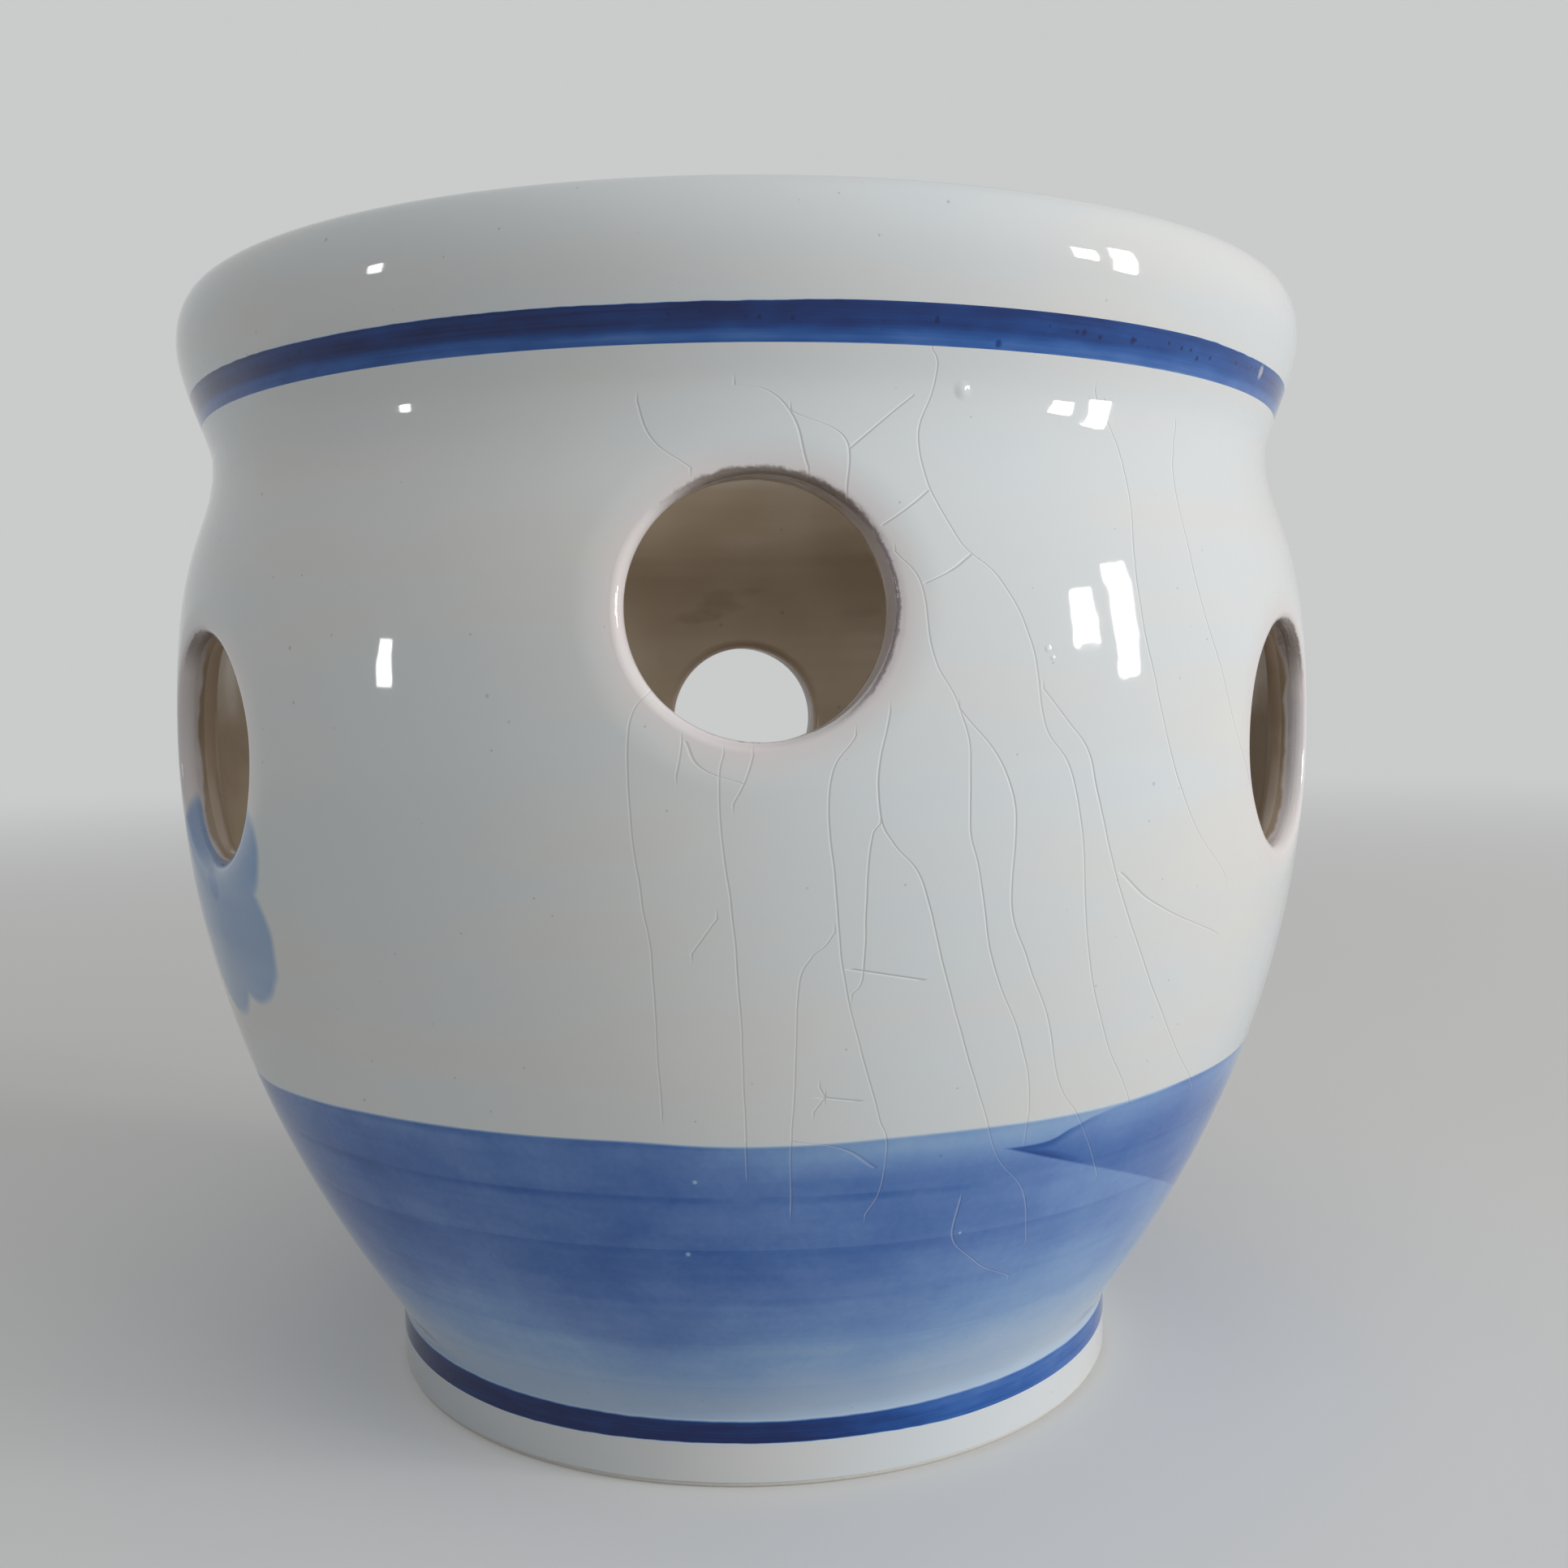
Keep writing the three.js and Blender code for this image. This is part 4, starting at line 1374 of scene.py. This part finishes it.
def paper_finish(studio):
    """Plain matt paper, a little uneven in tone, that runs into the backdrop's tone far from the pot."""
    finish = Finish("studio_paper", roughness=0.9, specular=0.2)
    deep = tuple(channel * 0.97 for channel in studio.floor)
    finish.paint(finish.mix(finish.noise(300.0).rise(-0.8, 0.8), flat(deep), flat(studio.floor)))
    far = finish.radius().rise(120.0, 1200.0, 0.78) + 0.22
    seen = Field(finish, seen_rays(finish.tree))
    glow = finish.node("ShaderNodeEmission", {}, (flat(studio.backdrop),))
    paper = Field(finish, finish.shader.outputs["BSDF"])
    mix = finish.node("ShaderNodeMixShader", {}, (far * seen, paper, glow))
    finish.tree.links.new(mix.socket, finish.output.inputs["Surface"])
    return finish.material


# Operators


def current_pot():
    """The pot as the scene's properties give it."""
    scene = bpy.context.scene
    return Pot(scene.pot_shape, scene.pot_holes, scene.pot_paint)


def outer_zone(pot, low, high):
    """The outside of the pot between two heights, all the way round."""
    sheet = Sheet()
    pot.hoop(sheet, steps(pot.skin.outside(low), pot.skin.outside(high)))
    return sheet


class POT_OT_clay_body(Operator):
    """The fired clay under all the coats: wall, floor, foot ring and the holes cut through them"""

    bl_idname = "pot.clay_body"
    bl_label = "Clay body"

    def execute(self, context):
        pot = current_pot()
        shape, skin = pot.shape, pot.skin
        depth = shape.coat + shape.coat_clearance
        bore = pot.holes.bore + depth + 0.1 * MM
        under_coats = Sheet()
        pot.hoop(under_coats, steps(skin.outside(shape.wiped_foot), skin.outside(BELT_LOW), 2 * ROW))
        pot.hoop(under_coats, steps(skin.outside(BELT_HIGH), skin.inside(BELT_HIGH), 2 * ROW))
        pot.hoop(under_coats, steps(skin.inside(BELT_LOW), skin.end, 2 * ROW))
        pot.hoop(under_coats, steps(0, pot.recess.end, ROW), pot.recess)
        bores = []
        for hole in pot.planting:
            clock = hole.patch(under_coats, bore, False, CLAY_RINGS)
            hole.patch(under_coats, bore, True, CLAY_RINGS)
            outer, outer_out = hole.ring(bore, clock, False)
            inner, inner_out = hole.ring(bore, clock, True)
            bores.append((outer - outer_out * depth, inner - inner_out * depth, -hole.into_clay(clock)))
        points, outward, faces, _ = under_coats.welded()
        body = Sheet()
        body.add(points - outward * depth, outward, faces)
        share = np.linspace(0, 1, BORE_STEPS // 2 + 1)[:, None, None]
        for outer, inner, inward in bores:
            wall = outer + (inner - outer) * share
            faces = grid_faces(len(share), len(outer), ring=True)
            body.add(wall, np.broadcast_to(inward, wall.shape), faces)
        pot.hoop(body, np.linspace(0, pot.foot_ring.end, FOOT_RING_STATIONS), pot.foot_ring)
        points, _, faces, _ = body.welded()
        made = link_mesh("fired_clay_body", points, faces)
        set_piece(made, ["clay_body"], clay_finish(pot.paint))
        return {"FINISHED"}


class POT_OT_foot_glaze(Operator):
    """White glaze on the foot, from its wiped edge up to the lower band"""

    bl_idname = "pot.foot_glaze"
    bl_label = "Foot glaze"

    def execute(self, context):
        pot = current_pot()
        sheet = outer_zone(pot, pot.shape.wiped_foot, pot.paint.foot_band_low)
        material = plain_glaze_finish("white_glaze_foot", pot.paint)
        coat_piece(pot, "white_glaze_on_foot", sheet, ["foot_glaze"], material)
        return {"FINISHED"}


class POT_OT_bands(Operator):
    """The two brushed cobalt bands, above the foot and under the rim"""

    bl_idname = "pot.bands"
    bl_label = "Cobalt bands"

    def execute(self, context):
        pot = current_pot()
        paint = pot.paint
        sheet = outer_zone(pot, paint.foot_band_low, paint.foot_band_high)
        material = foot_band_finish(paint)
        coat_piece(pot, "cobalt_band_above_foot", sheet, ["foot_band"], material)
        sheet = outer_zone(pot, paint.rim_band_low, paint.rim_band_high)
        material = rim_band_finish(paint)
        coat_piece(pot, "cobalt_band_under_rim", sheet, ["rim_band"], material)
        return {"FINISHED"}


class POT_OT_blue_wash(Operator):
    """The pale wash brushed round the lower body on the wheel"""

    bl_idname = "pot.blue_wash"
    bl_label = "Blue wash"

    def execute(self, context):
        pot = current_pot()
        sheet = outer_zone(pot, pot.paint.foot_band_high, pot.paint.wash_high)
        material = wash_finish(pot.paint)
        coat_piece(pot, "pale_blue_wash_coat", sheet, ["blue_wash"], material)
        return {"FINISHED"}


class POT_OT_belly_glaze(Operator):
    """White glaze on the belly and shoulder, rolling over the outer edge of each planting hole"""

    bl_idname = "pot.belly_glaze"
    bl_label = "Belly glaze"

    def execute(self, context):
        pot = current_pot()
        sheet = outer_zone(pot, pot.paint.wash_high, BELT_LOW)
        pot.hoop(sheet, steps(pot.skin.outside(BELT_HIGH), pot.skin.outside(pot.paint.rim_band_low)))
        for hole in pot.planting:
            hole.rolled_patch(sheet, False)
        name, material = "white_glaze_on_belly", belly_finish(pot.paint)
        coat_piece(pot, name, sheet, ["belly_glaze"], material, holed=True)
        return {"FINISHED"}


class POT_OT_rim_glaze(Operator):
    """White glaze over the rolled rim and down into the mouth"""

    bl_idname = "pot.rim_glaze"
    bl_label = "Rim glaze"

    def execute(self, context):
        pot = current_pot()
        skin = pot.skin
        sheet = Sheet()
        inner_top = skin.inside(pot.shape.crest_height - pot.paint.inner_coat_depth)
        pot.hoop(sheet, steps(skin.outside(pot.paint.rim_band_high), inner_top, 0.5 * ROW))
        material = rim_finish(pot.paint)
        coat_piece(pot, "white_glaze_on_rim", sheet, ["rim_glaze"], material)
        return {"FINISHED"}


class POT_OT_inner_glaze(Operator):
    """The glaze poured inside: wall and floor, rolling over the inner edge of each planting hole"""

    bl_idname = "pot.inner_glaze"
    bl_label = "Inner glaze"

    def execute(self, context):
        pot = current_pot()
        skin = pot.skin
        sheet = Sheet()
        top = skin.inside(pot.shape.crest_height - pot.paint.inner_coat_depth)
        pot.hoop(sheet, steps(top, skin.inside(BELT_HIGH)))
        pot.hoop(sheet, steps(skin.inside(BELT_LOW), skin.end, 2 * ROW))
        for hole in pot.planting:
            hole.rolled_patch(sheet, True)
        name, material = "poured_glaze_inside", inner_glaze_finish(pot.paint)
        coat_piece(pot, name, sheet, ["inner_glaze"], material, holed=True)
        return {"FINISHED"}


class POT_OT_base_glaze(Operator):
    """Glaze in the recess under the foot, down to the bare foot ring"""

    bl_idname = "pot.base_glaze"
    bl_label = "Base glaze"

    def execute(self, context):
        pot = current_pot()
        sheet = Sheet()
        pot.hoop(sheet, steps(0, pot.recess.end), pot.recess)
        material = plain_glaze_finish("white_glaze_base", pot.paint)
        coat_piece(pot, "white_glaze_in_recess", sheet, ["base_glaze"], material)
        return {"FINISHED"}


class POT_OT_hole_glazes(Operator):
    """The thin glaze on the cut wall of each planting hole"""

    bl_idname = "pot.hole_glazes"
    bl_label = "Hole glazes"

    def execute(self, context):
        pot = current_pot()
        material = hole_wall_finish(pot.paint)
        for number, hole in enumerate(pot.planting, 1):
            sheet = Sheet()
            hole.lining(sheet)
            name, node = f"thin_glaze_in_hole_{number}", f"hole_glaze_{number}"
            coat_piece(pot, name, sheet, [node], material, holed=True)
        return {"FINISHED"}


class POT_OT_studio(Operator):
    """A plain pale floor, soft light all round, window boxes on the right, and the camera"""

    bl_idname = "pot.studio"
    bl_label = "Studio"

    def execute(self, context):
        studio = context.scene.pot_studio
        floor_disc(studio)
        sky(studio)
        for strength, in_gloss, *place in LIGHT_BOXES:
            light_box(*place, getattr(studio, strength)).visible_glossy = in_gloss
        set_camera()
        context.scene.view_settings.view_transform = "Standard"
        return {"FINISHED"}


def floor_disc(studio):
    """A flat disc: a radius, growing as the square of its share, times cosine and sine of an angle."""
    angle = np.linspace(0, 2 * math.pi, FLOOR_SIDES, endpoint=False)
    radius = FLOOR_RADIUS * np.linspace(0, 1, FLOOR_RINGS)[:, None] ** 2
    ground = np.zeros((FLOOR_RINGS, FLOOR_SIDES))
    points = np.stack([radius * np.cos(angle), radius * np.sin(angle), ground], axis=-1)
    sheet = Sheet()
    faces = grid_faces(FLOOR_RINGS, FLOOR_SIDES, turned=True, ring=True)
    sheet.add(points, np.broadcast_to((0.0, 0.0, 1.0), points.shape), faces)
    points, _, faces, _ = sheet.welded()
    floor = link_mesh("studio_floor", points, faces)
    floor.data.materials.append(paper_finish(studio))


def sky(studio):
    """Even light from all round; the camera and the glaze see the backdrop's own tone instead."""
    world = bpy.data.worlds.new("studio_sky")
    world.use_nodes = True
    tree = world.node_tree
    tree.nodes.clear()
    light = tree.nodes.new("ShaderNodeBackground")
    light.inputs["Color"].default_value = SKY_TONE
    light.inputs["Strength"].default_value = studio.sky
    seen = tree.nodes.new("ShaderNodeBackground")
    seen.inputs["Color"].default_value = flat(studio.backdrop)
    mix = tree.nodes.new("ShaderNodeMixShader")
    output = tree.nodes.new("ShaderNodeOutputWorld")
    tree.links.new(seen_rays(tree), mix.inputs[0])
    tree.links.new(light.outputs[0], mix.inputs[1])
    tree.links.new(seen.outputs[0], mix.inputs[2])
    tree.links.new(mix.outputs[0], output.inputs["Surface"])
    bpy.context.scene.world = world


def light_box(turn, rise, across, above, wide, tall, radiance):
    """A rectangular light that faces the pot from a turn and a rise, shifted in its own plane."""
    turn, rise = math.radians(turn), math.radians(rise)
    out = Vector((math.sin(turn) * math.cos(rise), -math.cos(turn) * math.cos(rise), math.sin(rise)))
    lamp = bpy.data.lights.new("light_box", "AREA")
    lamp.shape = "RECTANGLE"
    lamp.size, lamp.size_y = wide, tall
    lamp.energy = radiance * math.pi * wide * tall
    box = bpy.data.objects.new("light_box", lamp)
    facing = out.to_track_quat("Z", "Y").to_matrix().to_4x4()
    away = Matrix.Translation(Vector(LIGHT_TARGET) + out * LIGHT_DISTANCE)
    box.matrix_world = away @ facing @ Matrix.Translation((across, above, 0))
    bpy.context.scene.collection.objects.link(box)
    return box


def set_camera():
    """The photograph's viewpoint: very close, below the rim, turned 2.4 degrees to the right."""
    pan, pitch, roll = CAMERA_PAN, CAMERA_PITCH, CAMERA_ROLL
    level_part = math.cos(pitch)
    ahead = Vector((math.sin(pan) * level_part, math.cos(pan) * level_part, math.sin(pitch)))
    level = Vector((math.cos(pan), -math.sin(pan), 0))
    above = level.cross(ahead)
    right = level * math.cos(roll) + above * math.sin(roll)
    up = above * math.cos(roll) - level * math.sin(roll)
    lens = bpy.data.cameras.new("photo_camera")
    lens.lens = FOCAL_LENGTH
    lens.sensor_width = SENSOR_WIDTH
    lens.clip_start = CLIP_START
    camera = bpy.data.objects.new("photo_camera", lens)
    turned = Matrix((right, up, -ahead)).transposed().to_4x4()
    camera.matrix_world = Matrix.Translation(CAMERA_PLACE) @ turned
    bpy.context.scene.collection.objects.link(camera)
    bpy.context.scene.camera = camera


class POT_PT_sidebar(Panel):
    """Lists the sizes, colours and steps of the pot"""

    bl_label = "Crocus pot"
    bl_idname = "POT_PT_sidebar"
    bl_space_type = "VIEW_3D"
    bl_region_type = "UI"
    bl_category = "Pot"

    def draw(self, context):
        for group_name in GROUPS:
            group = getattr(context.scene, group_name)
            box = self.layout.box()
            for name in group.__annotations__:
                box.prop(group, name)
        for step in STEPS:
            self.layout.operator(step.bl_idname)


STEPS = (
    POT_OT_clay_body,
    POT_OT_foot_glaze,
    POT_OT_bands,
    POT_OT_blue_wash,
    POT_OT_belly_glaze,
    POT_OT_rim_glaze,
    POT_OT_inner_glaze,
    POT_OT_base_glaze,
    POT_OT_hole_glazes,
    POT_OT_studio,
)
GROUPS = {"pot_shape": PotShape, "pot_holes": PotHoles, "pot_paint": PotPaint, "pot_studio": PotStudio}


def register():
    for group in (*GROUPS.values(), *STEPS, POT_PT_sidebar):
        bpy.utils.register_class(group)
    for name, group in GROUPS.items():
        setattr(bpy.types.Scene, name, PointerProperty(type=group))


def unregister():
    for name in GROUPS:
        delattr(bpy.types.Scene, name)
    for group in (POT_PT_sidebar, *reversed(STEPS), *reversed(GROUPS.values())):
        bpy.utils.unregister_class(group)


def main():
    register()
    for step in STEPS:
        area, name = step.bl_idname.split(".")
        getattr(getattr(bpy.ops, area), name)()


if __name__ == "__main__":
    main()
